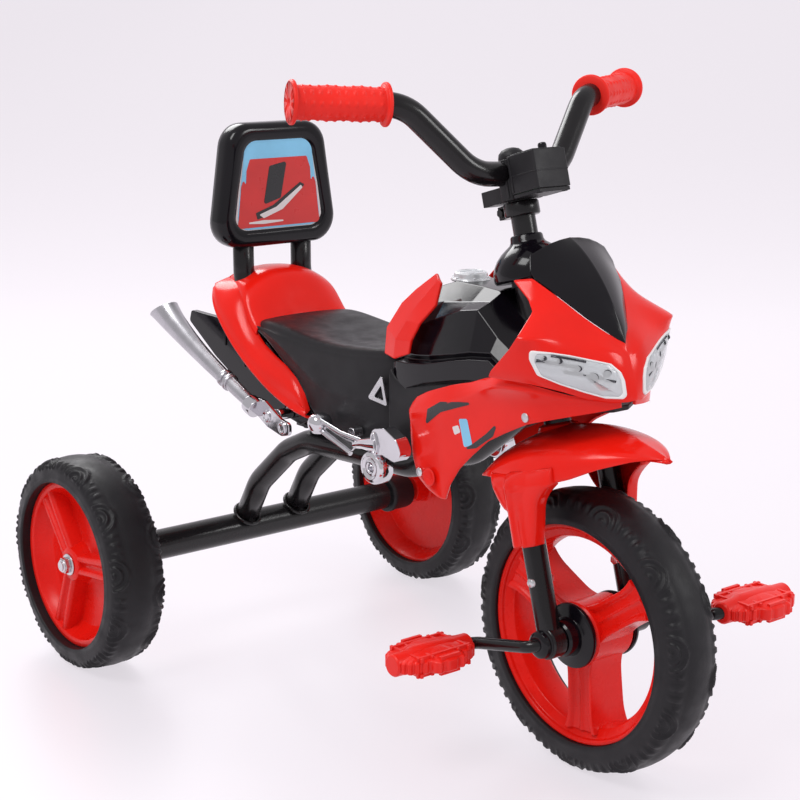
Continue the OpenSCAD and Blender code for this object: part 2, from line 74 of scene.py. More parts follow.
def around(phi, radius, x):
    """A point in mm over the front wheel: angle back from straight up, radius, and sideways."""
    a = math.radians(phi)
    return AXLE + Vector((x, radius * math.sin(a), radius * math.cos(a))) * MM


# ---------------------------------------------------------------- meshes

def grid(rows, wrap_rows=False, wrap_cols=False, caps=False):
    """Vertices and quads of a sheet or tube through rows of points."""
    n, m = len(rows), len(rows[0])
    verts = [p for row in rows for p in row]
    faces = []
    for i in range(n if wrap_rows else n - 1):
        for j in range(m if wrap_cols else m - 1):
            a, b = i * m + j, i * m + (j + 1) % m
            c, d = ((i + 1) % n) * m + (j + 1) % m, ((i + 1) % n) * m + j
            faces.append((a, b, c, d))
    if caps:
        faces.append(tuple(range(m - 1, -1, -1)))
        faces.append(tuple((n - 1) * m + j for j in range(m)))
    return verts, faces


def joined(*parts):
    """Several (vertices, faces) as one."""
    verts, faces = [], []
    for v, f in parts:
        base = len(verts)
        verts += v
        faces += [tuple(i + base for i in face) for face in f]
    return verts, faces


def mirrored(part):
    """The same part on the other side of the middle plane."""
    verts, faces = part
    return [Vector((-p.x, p.y, p.z)) for p in verts], [tuple(reversed(f)) for f in faces]


def both(part):
    """A part and its mirror image."""
    return joined(part, mirrored(part))


def whole(rows):
    """Rows that run from the middle plane outwards, completed to the other side."""
    return [[Vector((-p.x, p.y, p.z)) for p in reversed(row[1:])] + list(row) for row in rows]


def fillet(points, radius, steps=8, closed=False):
    """A path with its corners rounded to a radius in mm."""
    pts = [Vector(p) for p in points]
    n, out = len(pts), []
    for i, p in enumerate(pts):
        if not closed and i in (0, n - 1):
            out.append(p)
            continue
        u, v = pts[i - 1] - p, pts[(i + 1) % n] - p
        half = u.angle(v) / 2
        cut = min(radius * MM / math.tan(half), u.length * 0.49, v.length * 0.49)
        u, v = u.normalized(), v.normalized()
        bend = cut * math.tan(half)
        centre = p + (u + v).normalized() * (bend / math.sin(half))
        a, b = p + u * cut - centre, p + v * cut - centre
        for k in range(steps + 1):
            out.append(centre + a.slerp(b, k / steps).normalized() * bend)
    return out


def sweep(path, section, up=None, scale=None, caps=True):
    """Carries a closed section, points (right, up) in mm, along a path of points."""
    rows, last = [], None
    n = len(path)
    for i, p in enumerate(path):
        along = (path[min(i + 1, n - 1)] - path[max(i - 1, 0)]).normalized()
        if last is None:
            guess = Vector(up) if up else (X if abs(along.x) < 0.9 else UP)
        else:
            guess = last
        top = (guess - along * guess.dot(along)).normalized()
        last = top
        right = along.cross(top)
        k = scale[i] if scale else 1
        rows.append([p + (right * a + top * b) * (k * MM) for a, b in section])
    return grid(rows, wrap_cols=True, caps=caps)


def turns(count):
    """Equal angles round a full turn."""
    return [2 * math.pi * k / count for k in range(count)]


def ring(radius, count=28):
    """A round section."""
    return [(radius * math.cos(t), radius * math.sin(t)) for t in turns(count)]


def tube(points, radius, bend=0, count=28):
    """A round bar along points, with its corners bent to a radius in mm."""
    return sweep(fillet(points, bend) if bend else [Vector(p) for p in points], ring(radius, count))


def lathe(profile, centre, axis=X, count=96, closed=False):
    """Turns a profile of (along, radius) in mm round an axis."""
    side = UP if abs(axis.z) < 0.9 else X
    u = (side - axis * side.dot(axis)).normalized()
    v = axis.cross(u)
    rows = []
    for a, r in profile:
        rows.append([
            centre + axis * (a * MM)
            + (u * math.cos(t) + v * math.sin(t)) * (r * MM)
            for t in turns(count)
        ])
    verts, faces = grid(rows, wrap_rows=closed, wrap_cols=True)
    faces = [tuple(reversed(f)) for f in faces]
    if not closed:
        m = len(rows[0])
        faces.append(tuple(range(m)))
        faces.append(tuple(reversed([(len(rows) - 1) * m + j for j in range(m)])))
    return verts, faces


def slab(outline, place, near, far):
    """A plate from a flat outline of (a, b), with place(a, b, depth) giving its points."""
    n = len(outline)
    verts = [place(a, b, near) for a, b in outline] + [place(a, b, far) for a, b in outline]
    faces = [tuple(range(n - 1, -1, -1)), tuple(range(n, 2 * n))]
    faces += [(i, (i + 1) % n, n + (i + 1) % n, n + i) for i in range(n)]
    return verts, faces


def rounded(points, radius, steps=6):
    """A flat outline of (a, b) in mm with round corners."""
    path = fillet([Vector((a * MM, b * MM, 0)) for a, b in points], radius, steps, closed=True)
    return [(p.x / MM, p.y / MM) for p in path]


def box(place, low, high):
    """Eight corners of a box in the frame of place(a, b, c)."""
    pts = [place(a, b, c) for c in (low[2], high[2]) for b in (low[1], high[1]) for a in (low[0], high[0])]
    return pts, [(0, 2, 3, 1), (4, 5, 7, 6), (0, 1, 5, 4), (2, 6, 7, 3), (0, 4, 6, 2), (1, 3, 7, 5)]


def make(name, part, body, paint, replaces=()):
    """Adds a piece of the tricycle. A piece named after a CAD node stands in for that node."""
    verts, faces = part
    mesh = bpy.data.meshes.new(name)
    mesh.from_pydata([tuple(v) for v in verts], [], faces)
    bm = bmesh.new()
    bm.from_mesh(mesh)
    bmesh.ops.remove_doubles(bm, verts=bm.verts, dist=1e-6)
    bmesh.ops.recalc_face_normals(bm, faces=bm.faces)
    bm.to_mesh(mesh)
    bm.free()
    mesh.materials.append(paint)
    for poly in mesh.polygons:
        poly.use_smooth = True
    obj = bpy.data.objects.new(name, mesh)
    bpy.context.scene.collection.objects.link(obj)
    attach(obj, body)
    if name in frame["nodes"]:
        replaces = (name,)
    if replaces:
        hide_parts(*replaces)
    return obj


def thicken(obj, thickness, offset=-1.0, crease=0.6):
    """Gives a sheet a wall thickness in mm; offset says to which side."""
    mod = obj.modifiers.new("wall", "SOLIDIFY")
    mod.thickness = thickness * MM
    mod.offset = offset
    mod.edge_crease_inner = crease
    mod.edge_crease_outer = crease
    mod.edge_crease_rim = crease
    return obj


def subdivide(obj, levels=2):
    """Rounds a coarse mesh."""
    mod = obj.modifiers.new("smooth", "SUBSURF")
    mod.levels = levels
    mod.render_levels = levels
    return obj


def bevel(obj, width, segments=3, angle=35):
    """Rounds every edge sharper than an angle, over a width in mm."""
    mod = obj.modifiers.new("edges", "BEVEL")
    mod.width = width * MM
    mod.segments = segments
    mod.limit_method = "ANGLE"
    mod.angle_limit = math.radians(angle)
    mod.harden_normals = True
    return obj


def crease_middle(obj, amount=1.0):
    """Sharpens the edges that lie in the middle plane."""
    mesh = obj.data
    crease = mesh.attributes.new("crease_edge", "FLOAT", "EDGE")
    for edge in mesh.edges:
        ends = [mesh.vertices[i].co for i in edge.vertices]
        crease.data[edge.index].value = amount if all(abs(p.x) < 0.4 * MM for p in ends) else 0.0
    return obj


def crease_row(obj, row, columns, amount):
    """Sharpens one row of a mirrored sheet that has a number of columns on each side."""
    mesh = obj.data
    crease = mesh.attributes["crease_edge"]
    width = 2 * columns - 1
    for edge in mesh.edges:
        if all(i // width == row for i in edge.vertices):
            crease.data[edge.index].value = amount


def interpolated(a, b, swell, count):
    """Points from a to b in mm, pushed out along a swell vector in the middle of the way."""
    out = []
    for i in range(count + 1):
        t = i / count
        push = Vector(swell) * math.sin(math.pi * t)
        out.append(Vector(a).lerp(Vector(b), t) + push)
    return out


# ---------------------------------------------------------------- materials

def finish_of(name, colour, rough, metal=0.0, coat=0.0, grain=700, bump=0.05, mottle=0.05,
              smudge=0.06, wear=0.0, spec=0.5):
    """A moulded or painted surface: fine grain, soft colour drift, smudges and worn edges."""
    mat = bpy.data.materials.new(name)
    mat.use_nodes = True
    nodes, links = mat.node_tree.nodes, mat.node_tree.links
    shader = nodes["Principled BSDF"]
    shader.inputs["Metallic"].default_value = metal
    shader.inputs["Coat Weight"].default_value = coat
    shader.inputs["Coat Roughness"].default_value = 0.08
    shader.inputs["Specular IOR Level"].default_value = spec
    coord = nodes.new("ShaderNodeTexCoord")

    def noise(scale, detail):
        node = nodes.new("ShaderNodeTexNoise")
        node.inputs["Scale"].default_value = scale
        node.inputs["Detail"].default_value = detail
        links.new(coord.outputs["Object"], node.inputs["Vector"])
        return node.outputs["Fac"]

    cloud = noise(22, 4)
    ramp = nodes.new("ShaderNodeValToRGB")
    ramp.color_ramp.elements[0].position = 0.3
    ramp.color_ramp.elements[1].position = 0.7
    ramp.color_ramp.elements[0].color = (*[c * (1 - mottle) for c in colour], 1)
    ramp.color_ramp.elements[1].color = (*[min(1, c * (1 + mottle)) for c in colour], 1)
    links.new(cloud, ramp.inputs["Fac"])
    base = ramp.outputs["Color"]
    if wear:
        geometry = nodes.new("ShaderNodeNewGeometry")
        edge = nodes.new("ShaderNodeMapRange")
        edge.inputs["From Min"].default_value = 0.52
        edge.inputs["From Max"].default_value = 0.62
        edge.inputs["To Max"].default_value = wear
        links.new(geometry.outputs["Pointiness"], edge.inputs["Value"])
        mix = nodes.new("ShaderNodeMix")
        mix.data_type = "RGBA"
        links.new(edge.outputs["Result"], mix.inputs["Factor"])
        links.new(base, mix.inputs["A"])
        mix.inputs["B"].default_value = (*[min(1, c * 1.5 + 0.12) for c in colour], 1)
        base = mix.outputs["Result"]
    links.new(base, shader.inputs["Base Color"])
    rub = nodes.new("ShaderNodeMapRange")
    rub.inputs["From Min"].default_value = 0.3
    rub.inputs["From Max"].default_value = 0.7
    rub.inputs["To Min"].default_value = max(0.02, rough - smudge)
    rub.inputs["To Max"].default_value = rough + smudge
    links.new(noise(60, 5), rub.inputs["Value"])
    links.new(rub.outputs["Result"], shader.inputs["Roughness"])
    relief = nodes.new("ShaderNodeBump")
    relief.inputs["Strength"].default_value = bump
    relief.inputs["Distance"].default_value = 0.0006
    links.new(noise(grain, 3), relief.inputs["Height"])
    links.new(relief.outputs["Normal"], shader.inputs["Normal"])
    return mat


RED = finish_of("red_gloss_plastic", (0.80, 0.011, 0.005), 0.2, coat=0.04, grain=500, bump=0.05,
                mottle=0.05, wear=0.1, spec=0.25)
RED_RIM = finish_of("red_rim_plastic", (0.76, 0.010, 0.005), 0.28, grain=700, bump=0.08, mottle=0.07,
                    wear=0.12, spec=0.22)
RED_GRIP = finish_of("red_soft_grip", (0.82, 0.018, 0.010), 0.42, grain=1600, bump=0.25,
                     mottle=0.08, smudge=0.1, spec=0.3)
RED_PEDAL = finish_of("red_pedal_plastic", (0.80, 0.014, 0.008), 0.34, grain=1100, bump=0.15,
                      mottle=0.06, wear=0.15, spec=0.3)
BLACK = finish_of("black_gloss_plastic", (0.004, 0.003, 0.005), 0.14, coat=0.12, grain=400,
                  bump=0.03, mottle=0.2, wear=0.02, spec=0.25)
CHARCOAL = finish_of("charcoal_satin_plastic", (0.017, 0.016, 0.018), 0.4, grain=1800, bump=0.22,
                     mottle=0.12, smudge=0.1, wear=0.05, spec=0.22)
STEEL = finish_of("black_powder_coat", (0.006, 0.005, 0.006), 0.24, coat=0.15, grain=900, bump=0.12,
                  mottle=0.15, wear=0.04, spec=0.3)
BRIGHT = finish_of("zinc_plated_steel", (0.66, 0.66, 0.68), 0.3, metal=1.0, grain=1500, bump=0.15,
                   mottle=0.1, smudge=0.12)
CHROME = finish_of("chrome_plated_plastic", (0.66, 0.65, 0.68), 0.12, metal=1.0, grain=260,
                   bump=0.07, mottle=0.05, smudge=0.07)
PALE_CHROME = finish_of("lamp_reflector", (0.72, 0.74, 0.76), 0.3, metal=0.35, grain=260, bump=0.5,
                        mottle=0.12, smudge=0.15)
SATIN_CHROME = finish_of("satin_silencer", (0.50, 0.49, 0.52), 0.34, metal=1.0, grain=260, bump=0.07,
                         mottle=0.08, smudge=0.1)
# Dark chrome for the lamps' trim; inside the silencers' open ends the same dark colour is painted shade.
DARK_TRIM_AND_SHADE = finish_of("lamp_trim_and_painted_shade", (0.07, 0.07, 0.08), 0.25, metal=1.0, grain=400, bump=0.3,
                        mottle=0.2, smudge=0.1)
TYRE = finish_of("black_foam_tyre", (0.009, 0.008, 0.010), 0.46, grain=1400, bump=0.3, mottle=0.25,
                 smudge=0.12, wear=0.05, spec=0.3)
WHITE = finish_of("white_lamp_rim", (0.80, 0.80, 0.80), 0.3, coat=0.2, grain=800, bump=0.05, mottle=0.03)
BLUE = finish_of("sky_blue_print", (0.22, 0.55, 0.80), 0.32, coat=0.2, grain=900, bump=0.05, mottle=0.12)
INK = finish_of("black_print", (0.010, 0.010, 0.012), 0.3, coat=0.2, grain=900, bump=0.05, mottle=0.2)
PRINT_RED = finish_of("red_print", (0.62, 0.020, 0.018), 0.32, coat=0.2, grain=900, bump=0.05,
                      mottle=0.1)
PALE = finish_of("pale_print", (0.72, 0.66, 0.66), 0.32, coat=0.2, grain=900, bump=0.05, mottle=0.06)
CIRCUIT = finish_of("green_circuit_board", (0.01, 0.10, 0.03), 0.4, grain=900, bump=0.2, mottle=0.2)


def lens_material():
    """Clear plastic that lets about half of the light through."""
    mat = finish_of("clear_lamp_lens", (0.86, 0.88, 0.90), 0.06, coat=0.5, grain=300, bump=0.06,
                    mottle=0.02, smudge=0.03)
    shader = mat.node_tree.nodes["Principled BSDF"]
    shader.inputs["Transmission Weight"].default_value = 0.55
    shader.inputs["IOR"].default_value = 1.3
    return mat


LENS = lens_material()


# ---------------------------------------------------------------- wheels

def shape(c, power):
    """A power that keeps the sign: below 1 it turns a circle into a rounded square."""
    return math.copysign(abs(c) ** power, c)


def tread(theta, across, half, radius):
    """Height in mm of the tyre's relief: arcs of ribs on both shoulders and small edge lugs."""
    groups = 11
    pitch = 2 * math.pi * radius / groups
    stagger = 0 if across > 0 else pitch / 2
    u = (theta * radius + stagger) % pitch - pitch / 2
    v = abs(across)
    d = math.hypot(u, v - 0.66 * half)
    sunk = 1.8 * min(1, (v / (0.3 * half)) ** 2)
    if v > 0.8 * half:
        return -sunk
    if d < 22 and v < 0.68 * half:
        return -sunk + 2.4 * max(0, math.sin(2 * math.pi * d / 7.2)) * min(1, (22 - d) / 4)
    lug = math.cos(theta * 72 + (1.2 if across > 0 else 0))
    edge = max(0, 1 - abs(v - 0.52 * half) / (0.16 * half))
    return -sunk + 2.2 * edge * max(0, min(1, 2.6 * lug + 0.3))


def tyre(name, centre, radius, rim_radius, width, body):
    """A foam tyre: a rounded square section carried round the wheel and raised by its tread."""
    count, columns = 600, 50
    depth = radius - rim_radius
    outline = []
    for j in range(columns + 1):
        a = math.pi * j / columns
        outline.append((width / 2 * shape(math.cos(a), 0.54), rim_radius + depth * shape(math.sin(a), 0.52)))
    lengths = [0.0]
    for (xa, ra), (xb, rb) in zip(outline, outline[1:]):
        lengths.append(lengths[-1] + math.hypot(xb - xa, rb - ra))
    half = lengths[-1] / 2
    rows = []
    for i in range(count):
        theta = 2 * math.pi * i / count
        row = []
        for j, (x, r) in enumerate(outline):
            flank = min(1, 3 * (r - rim_radius) / depth)
            lift = tread(theta, lengths[j] - half, half, radius) * flank
            out_x = x + 0.5 * lift * x / (width / 2)
            out_r = r + lift * (r - rim_radius) / depth
            row.append(centre + Vector((out_x, out_r * math.sin(theta), out_r * math.cos(theta))) * MM)
        for x in (-width / 2 + 2, 0, width / 2 - 2):
            row.append(centre + Vector((x, rim_radius * math.sin(theta), rim_radius * math.cos(theta))) * MM)
        rows.append(row)
    return make(name, grid(rows, wrap_rows=True, wrap_cols=True), body, TYRE)


def spoke(centre, angle, inner, outer, half_at, height_at, side_sign=1, floor=None):
    """One spoke as a closed loft along its length; height_at(q, w) is its face across w = -1..1."""
    rows = []
    steps, across = 16, 20
    a = math.radians(angle)
    along, side = Vector((0, -math.sin(a), math.cos(a))), Vector((0, math.cos(a), math.sin(a)))
    for i in range(steps + 1):
        q = inner + (outer - inner) * i / steps
        loop = []
        for j in range(across + 1):
            w = -1 + 2 * j / across
            loop.append((w, height_at(q, w)))
        for j in range(across + 1):
            w = 1 - 2 * j / across
            loop.append((w, floor if floor is not None else -height_at(q, w)))
        rows.append([centre + along * (q * MM) + side * (w * half_at(q) * MM) + X * (h * side_sign * MM)
                     for w, h in loop])
    return grid(rows, wrap_cols=True, caps=True)


SPOKE_ROOT = 22
SPOKE_RUN = 66


def front_spoke_half(q):
    """Half the width of a spoke at a distance from the axle; wider at its root and its tip."""
    t = (q - SPOKE_ROOT) / SPOKE_RUN
    return 14.5 + 4 * max(0, t - 0.7) ** 2 / 0.09 + 3 * max(0, 1 - t * 4) ** 2


def front_spoke_height(q, w):
    """Height of a spoke's face: raised edges and a thin middle rib."""
    t = (q - SPOKE_ROOT) / SPOKE_RUN
    flange = 3.4 * max(0, min(1, (abs(w) - 0.62) * 8))
    rib = 1.8 * max(0, 1 - abs(w) * 7)
    return 16 + 2.5 * t ** 2 + flange + rib


def front_rim():
    """The front rim: a stepped barrel, the hub and three broad spokes."""
    barrel = lathe([
        (-24, 99.4), (-24, 97), (-22.5, 95.2), (-20, 94.4), (-17.5, 91), (-15, 87), (-9, 85),
        (9, 85), (15, 87), (17.5, 91), (20, 94.4), (22.5, 95.2), (24, 97), (24, 99.4)
    ], AXLE, count=144, closed=True)
    hub = lathe([(-24, 6), (-24, 26), (-21, 29), (-10, 28), (10, 28), (21, 29), (24, 26), (24, 6)], AXLE)
    spokes = [spoke(AXLE, -65 - 120 * k, SPOKE_ROOT, 89, front_spoke_half, front_spoke_height)
              for k in range(3)]
    obj = make("front_rim", joined(barrel, hub, *spokes), "front_wheel", RED_RIM)
    return bevel(obj, 0.8, 2, 30)


def hub_flanges():
    """Stepped black flanges between the front hub and the fork's eyes."""
    side = lathe([(24, 6), (24, 28.5), (26, 29.5), (28.5, 29), (29.5, 27), (30, 19), (31, 17.5),
                  (34, 17), (41, 16), (43, 14), (43, 6)], AXLE)
    return bevel(make("hub_flanges", both(side), "front_wheel", BLACK), 0.4, 2)


def rear_hub(side):
    """The middle of a rear wheel; side is 1 or -1."""
    return Vector((side * REAR_AXLE.x, REAR_AXLE.y, REAR_AXLE.z))


def rear_spoke_half(q):
    """Half the width of a spoke at a distance from the axle."""
    return 11 + 2.5 * ((q - 12) / 70) ** 2


def rear_spoke_height(q, w):
    """Height of a spoke's face: hollow along the middle and sloped at the edges."""
    groove = 5 * max(0, 1 - (abs(w) / 0.42) ** 2)
    slope = 4 * max(0, (abs(w) - 0.72) / 0.28) ** 2
    return 20.6 - groove - slope


def rear_rim(name, side, body):
    """A rear rim: a dished disc with a rolled lip and three grooved spokes."""
    centre, axis = rear_hub(side), X * side
    dish = lathe([
        (-24, 86.4), (-24, 83.5), (-21, 81.5), (-4, 74), (-3, 18), (-5, 16), (-22, 16), (-23, 14),
        (-23, 5.4), (21.4, 5.4), (22, 7), (22, 14), (20.6, 17), (12, 19), (5, 21), (3, 25), (2.4, 60),
        (3.6, 68), (8, 73.5), (17, 77.6), (20.6, 79), (21.6, 80.8), (21.6, 84.8), (20.8, 86.4)
    ], centre, axis, count=144, closed=True)
    spokes = [
        spoke(centre, -38 - 120 * k, 12, 81, rear_spoke_half, rear_spoke_height, side, floor=0)
        for k in range(3)
    ]
    obj = make(name, joined(dish, *spokes), body, RED_RIM)
    return bevel(obj, 0.6, 2, 30)


def wheel_fasteners():
    """Washers and domed nuts on the ends of the rear axle."""
    washers, nuts = [], []
    for side in (-1, 1):
        centre = rear_hub(side)
        washers.append(lathe([(22.3, 5), (22.3, 11), (23.2, 11.4), (23.8, 10.6), (23.8, 5)], centre,
                             X * side, 48))
        nuts.append(slab(ring(8.6, 6), lambda a, b, d, c=centre, s=side: c + Vector((s * d, a, b)) * MM,
                         23.8, 29.4))
        nuts.append(lathe([(29, 7.2), (30.6, 6.8), (31, 5.2)], centre, X * side, 48))
    bevel(make("axle_washers", joined(*washers), "frame", BRIGHT), 0.3, 2)
    bevel(make("axle_nuts", joined(*nuts), "frame", BRIGHT), 0.6, 2)


SIDES = (("left", 1), ("right", -1))
FRONT_TYRE = (128, 99.5, 56)  # radius, rim radius and width
REAR_TYRE = (110, 86.5, 62)

tyre("front_tyre", AXLE, *FRONT_TYRE, "front_wheel")
for word, sign in SIDES:
    tyre(f"rear_tyre_{word}", rear_hub(sign), *REAR_TYRE, f"rear_wheel_{word}")
    rear_rim(f"rear_rim_{word}", sign, f"rear_wheel_{word}")
front_rim()
hub_flanges()
wheel_fasteners()


# ---------------------------------------------------------------- steel frame

MAIN_R = 12.5  # radius of the main tubes and the steerer
MAIN_X = 33


def main_tube(word, sign):
    """One bent tube from the axle tube up to the head tube."""
    x = MAIN_X * sign
    path = [at(x, 503, 114), at(x, 470, 168), at(x, 416, 213), at(x, 374, 232), at(x, 205, 240),
            at(x, 120, 303), at(x, 94, 328)]
    return make(f"main_tube_{word}", tube(path, MAIN_R, 60), "frame", STEEL)


def weld_beads():
    """Rippled weld seams where the tubes meet the axle tube."""
    parts = []
    for sign in (-1, 1):
        centre, n = at(MAIN_X * sign, 495.5, 126), 54
        along = (at(0, 470, 168) - at(0, 503, 114)).normalized()
        side = along.cross(X)
        path, size = [], []
        for k, a in enumerate(turns(n)):
            path.append(centre + (X * math.cos(a) * 13 + side * math.sin(a) * 15) * MM)
            size.append(1 + 0.22 * (k % 2))
        rows = []
        for k, p in enumerate(path):
            out = (p - centre).normalized()
            rows.append([p + (out * math.cos(t) + along * math.sin(t)) * (2.2 * size[k] * MM)
                         for t in turns(8)])
        parts.append(grid(rows, wrap_rows=True, wrap_cols=True))
    return subdivide(make("weld_beads", joined(*parts), "frame", STEEL), 1)


def backrest_post(word, sign):
    """One bent post of the backrest."""
    x = 37 * sign
    path = [at(x, 487, 440), at(x, 487, 388), at(x, 468, 342), at(x, 367, 254)]
    return make(f"backrest_post_{word}", tube(path, 11, 40), "frame", STEEL)


def axle_sleeves():
    """Stepped spacers between the axle tube and the rear wheels."""
    side = lathe([(164, 16.2), (164, 19.5), (165.5, 20.4), (170, 20.6), (172, 19.6), (190, 19.6),
                  (195, 18.6), (196.6, 15), (197, 11), (201.2, 10.4), (201.2, 5.2)],
                 Vector((0, REAR_AXLE.y, REAR_AXLE.z)), X, 64)
    return bevel(make("axle_sleeves", both(side), "frame", CHARCOAL), 0.4, 2)


for word, sign in SIDES:
    main_tube(word, sign)
    backrest_post(word, sign)
weld_beads()
axle_sleeves()


# ---------------------------------------------------------------- fork and handlebar

def fork():
    """The fork: steerer, crown, two legs and the eyes for the crank axle."""
    parts = [tube([steered(0, 0, 150), steered(0, 0, 350)], MAIN_R)]
    leg = sweep([steered(52, 0, s) for s in (0, 6, 30, 100, 141)],
                [(a * 1.0, b * 1.12) for a, b in ring(10)], scale=[0.9, 1, 1, 1, 1])
    eye = lathe([(43.5, 6), (43.5, 13), (45, 14.5), (59, 14.5), (60.5, 13), (60.5, 6)], AXLE, X, 48)
    crown = slab(rounded([(-54, -13), (54, -13), (54, 13), (-54, 13)], 10),
                 steered, 139.5, 155)
    obj = make("fork", joined(*parts, both(leg), both(eye), crown), "steering", STEEL)
    return bevel(obj, 1.0, 3)


def fork_ends():
    """Bushes and crank collars at the foot of the fork, and a bolt through each leg."""
    cap = lathe([(60.5, 6.2), (60.5, 13), (62.1, 12.4), (62.2, 6.2)], AXLE, X, 48)
    bevel(make("fork_bushes", both(cap), "steering", CHARCOAL), 0.3, 2)
    collar = lathe([(62.4, 5.8), (62.4, 11.6), (63.4, 12.4), (66.4, 11.8), (68.2, 9), (68.4, 6)], AXLE, X, 48)
    bevel(make("crank_collars", both(collar), "front_wheel", BLACK), 0.3, 2)
    base = steered(0, 0, 54)
    head = lathe([(61, 4.6), (62.4, 4.6), (64.2, 3.6), (65.2, 1.4)], base, X, 32)
    nut = lathe([(38.6, 2), (38.8, 4.4), (43, 4.4)], base, X, 6)
    bevel(make("fork_bolts", both(joined(head, nut)), "steering", BRIGHT), 0.2, 2)


def cranks():
    """The bent rod that is both axle and cranks."""
    pedal = PEDAL - AXLE
    path = []
    for sign in (1, -1):
        end = Vector((0, pedal.y, pedal.z)) * sign
        arm = [AXLE + X * (74 * MM * sign), AXLE + X * (74 * MM * sign) + end,
               AXLE + X * (166 * MM * sign) + end]
        path = arm[::-1] if sign > 0 else path + arm
    return make("crank_axle", tube(path, 5.5, 11), "front_wheel", STEEL)


def pedal(word, sign):
    """A toothed pedal body: rounded blocks round a spindle barrel, with tread bars on both faces."""
    centre = AXLE + (PEDAL - AXLE) * sign
    centre.x = PEDAL.x * sign

    def place(a, b, d):
        return centre + Vector((a, b, d)) * MM

    def outline(scale, teeth):
        out = []
        for a in turns(288):
            x = 43 * shape(math.cos(a), 0.75)
            middle = max(0, min(1, (19 - abs(x)) / 5))
            tooth = 1.6 * teeth * max(0, min(1, 2.5 * math.cos(26 * a)))
            out.append((x * scale - math.copysign(tooth, x) * abs(math.cos(a)),
                        ((25 + 6.5 * middle) * scale - tooth) * shape(math.sin(a), 0.7)))
        return out

    layers = [(0.05, 10.5, 0), (0.35, 10.2, 0), (0.55, 9, 0), (0.72, 7.6, 0), (0.88, 6.2, 0.3),
              (0.97, 5.4, 1), (1.0, 4.4, 1)]
    profile = layers + [(k, -d, teeth) for k, d, teeth in reversed(layers)]
    rows = [[place(a, b, d) for a, b in outline(k, teeth)] for k, d, teeth in profile]
    barrel = lathe([(-43.5, 6), (-43.5, 8.6), (-42, 10), (-24, 10.6), (-20, 12), (20, 12), (24, 10.6),
                    (42, 10),
                    (43.5, 8.6), (43.5, 6)], centre, X, 48)
    parts = [grid(rows, wrap_cols=True, caps=True), barrel]
    for face in (-1, 1):
        for b in (-18, 18):
            parts.append(box(place, (-30, b - 1.4, face * 5), (30, b + 1.4, face * 9.4)))
        for a in (-27, -15, 15, 27):
            parts.append(box(place, (a - 1.4, -22, face * 5), (a + 1.4, 22, face * 9)))
        parts.append(box(place, (-11, -28, face * 5), (11, -24.5, face * 8.6)))
        parts.append(box(place, (-11, 24.5, face * 5), (11, 28, face * 8.6)))
    obj = make(f"pedal_{word}", joined(*parts), f"pedal_{word}", RED_PEDAL)
    return bevel(obj, 0.7, 2, 40)


GUARD = [  # angle back from straight up, ridge radius, half width, edge radius
    (-25.8, 191, 1, 190.8), (-24, 190.5, 8, 188.5), (-20, 189.5, 23, 180), (-14, 188.5, 40, 166),
    (-7, 187.5, 52, 151), (1, 186.5, 59, 142), (9, 185.5, 61, 141), (17, 183.5, 61, 143),
    (25, 180, 59, 148), (31, 174.5, 56, 155), (36, 167, 50, 160)
]


def guard_sheet():
    """The mudguard: a folded ridge over the wheel, with both edges drawn down."""
    rows = []
    for phi, ridge, half, edge in GUARD:
        row = []
        for j in range(-7, 8):
            a = math.pi / 2 * j / 7
            fold = 2.2 * max(0, 1 - abs(j) / 1.5)
            row.append(around(phi, edge + (ridge - edge - 2.2) * shape(math.cos(a), 0.75) + fold,
                              half * shape(math.sin(a), 0.85)))
        rows.append(row)
    return grid(rows)


def fork_cover():
    """One cover over a fork leg: open towards the wheel, two ribs down its face, a flap behind its top."""
    rows, count, low, high = [], 60, 86, 152
    for i in range(36):
        s = low + (high - low) * i / 35
        front = max(-44, -13 - 0.3 * (s - low) - 30 * max(0, (s - 116) / 28) ** 2.2)
        back = 15 + 21 * max(0, (s - 118) / 36) ** 0.6
        outer = 66.5 - 9 * max(0, (s - 136) / 16) ** 2
        row = []
        for j in range(count + 1):
            a = math.radians(-118 + 236 * j / count)
            t = (front + back) / 2 + (back - front) / 2 * shape(math.sin(a), 0.55)
            x = 57 + (outer - 57) * shape(math.cos(a), 0.45)
            if math.cos(a) > 0.2:
                x += sum(3 * math.exp(-((t - middle) / 2.4) ** 2) for middle in (-5, 6))
            row.append(steered(x, t, s))
        rows.append(row)
    return grid(rows)


def front_mudguard():
    """The mudguard with its covers over the fork legs and its boss round the steerer."""
    guard = make("front_mudguard", guard_sheet(), "steering", RED)
    crease_middle(guard)
    subdivide(thicken(guard, 2.8), 2)
    covers = make("fork_covers", both(fork_cover()), "steering", RED)
    thicken(covers, 2.2, crease=0.3)
    boss = lathe([(156, 12.8), (156, 19), (180, 19), (184, 17.5), (186, 13)], AXLE, STEER, 48)
    bevel(make("mudguard_boss", boss, "steering", RED), 0.6, 2)


BAR = [(0, 108.6, 522), (50, 108.6, 525), (107, 134, 585), (197, 170, 589)]


def handlebar():
    """One bent bar."""
    half = [at(*p) for p in BAR]
    path = [Vector((-p.x, p.y, p.z)) for p in reversed(half)] + half[1:]
    return make("handlebar", tube(path, 11, 42), "steering", STEEL)


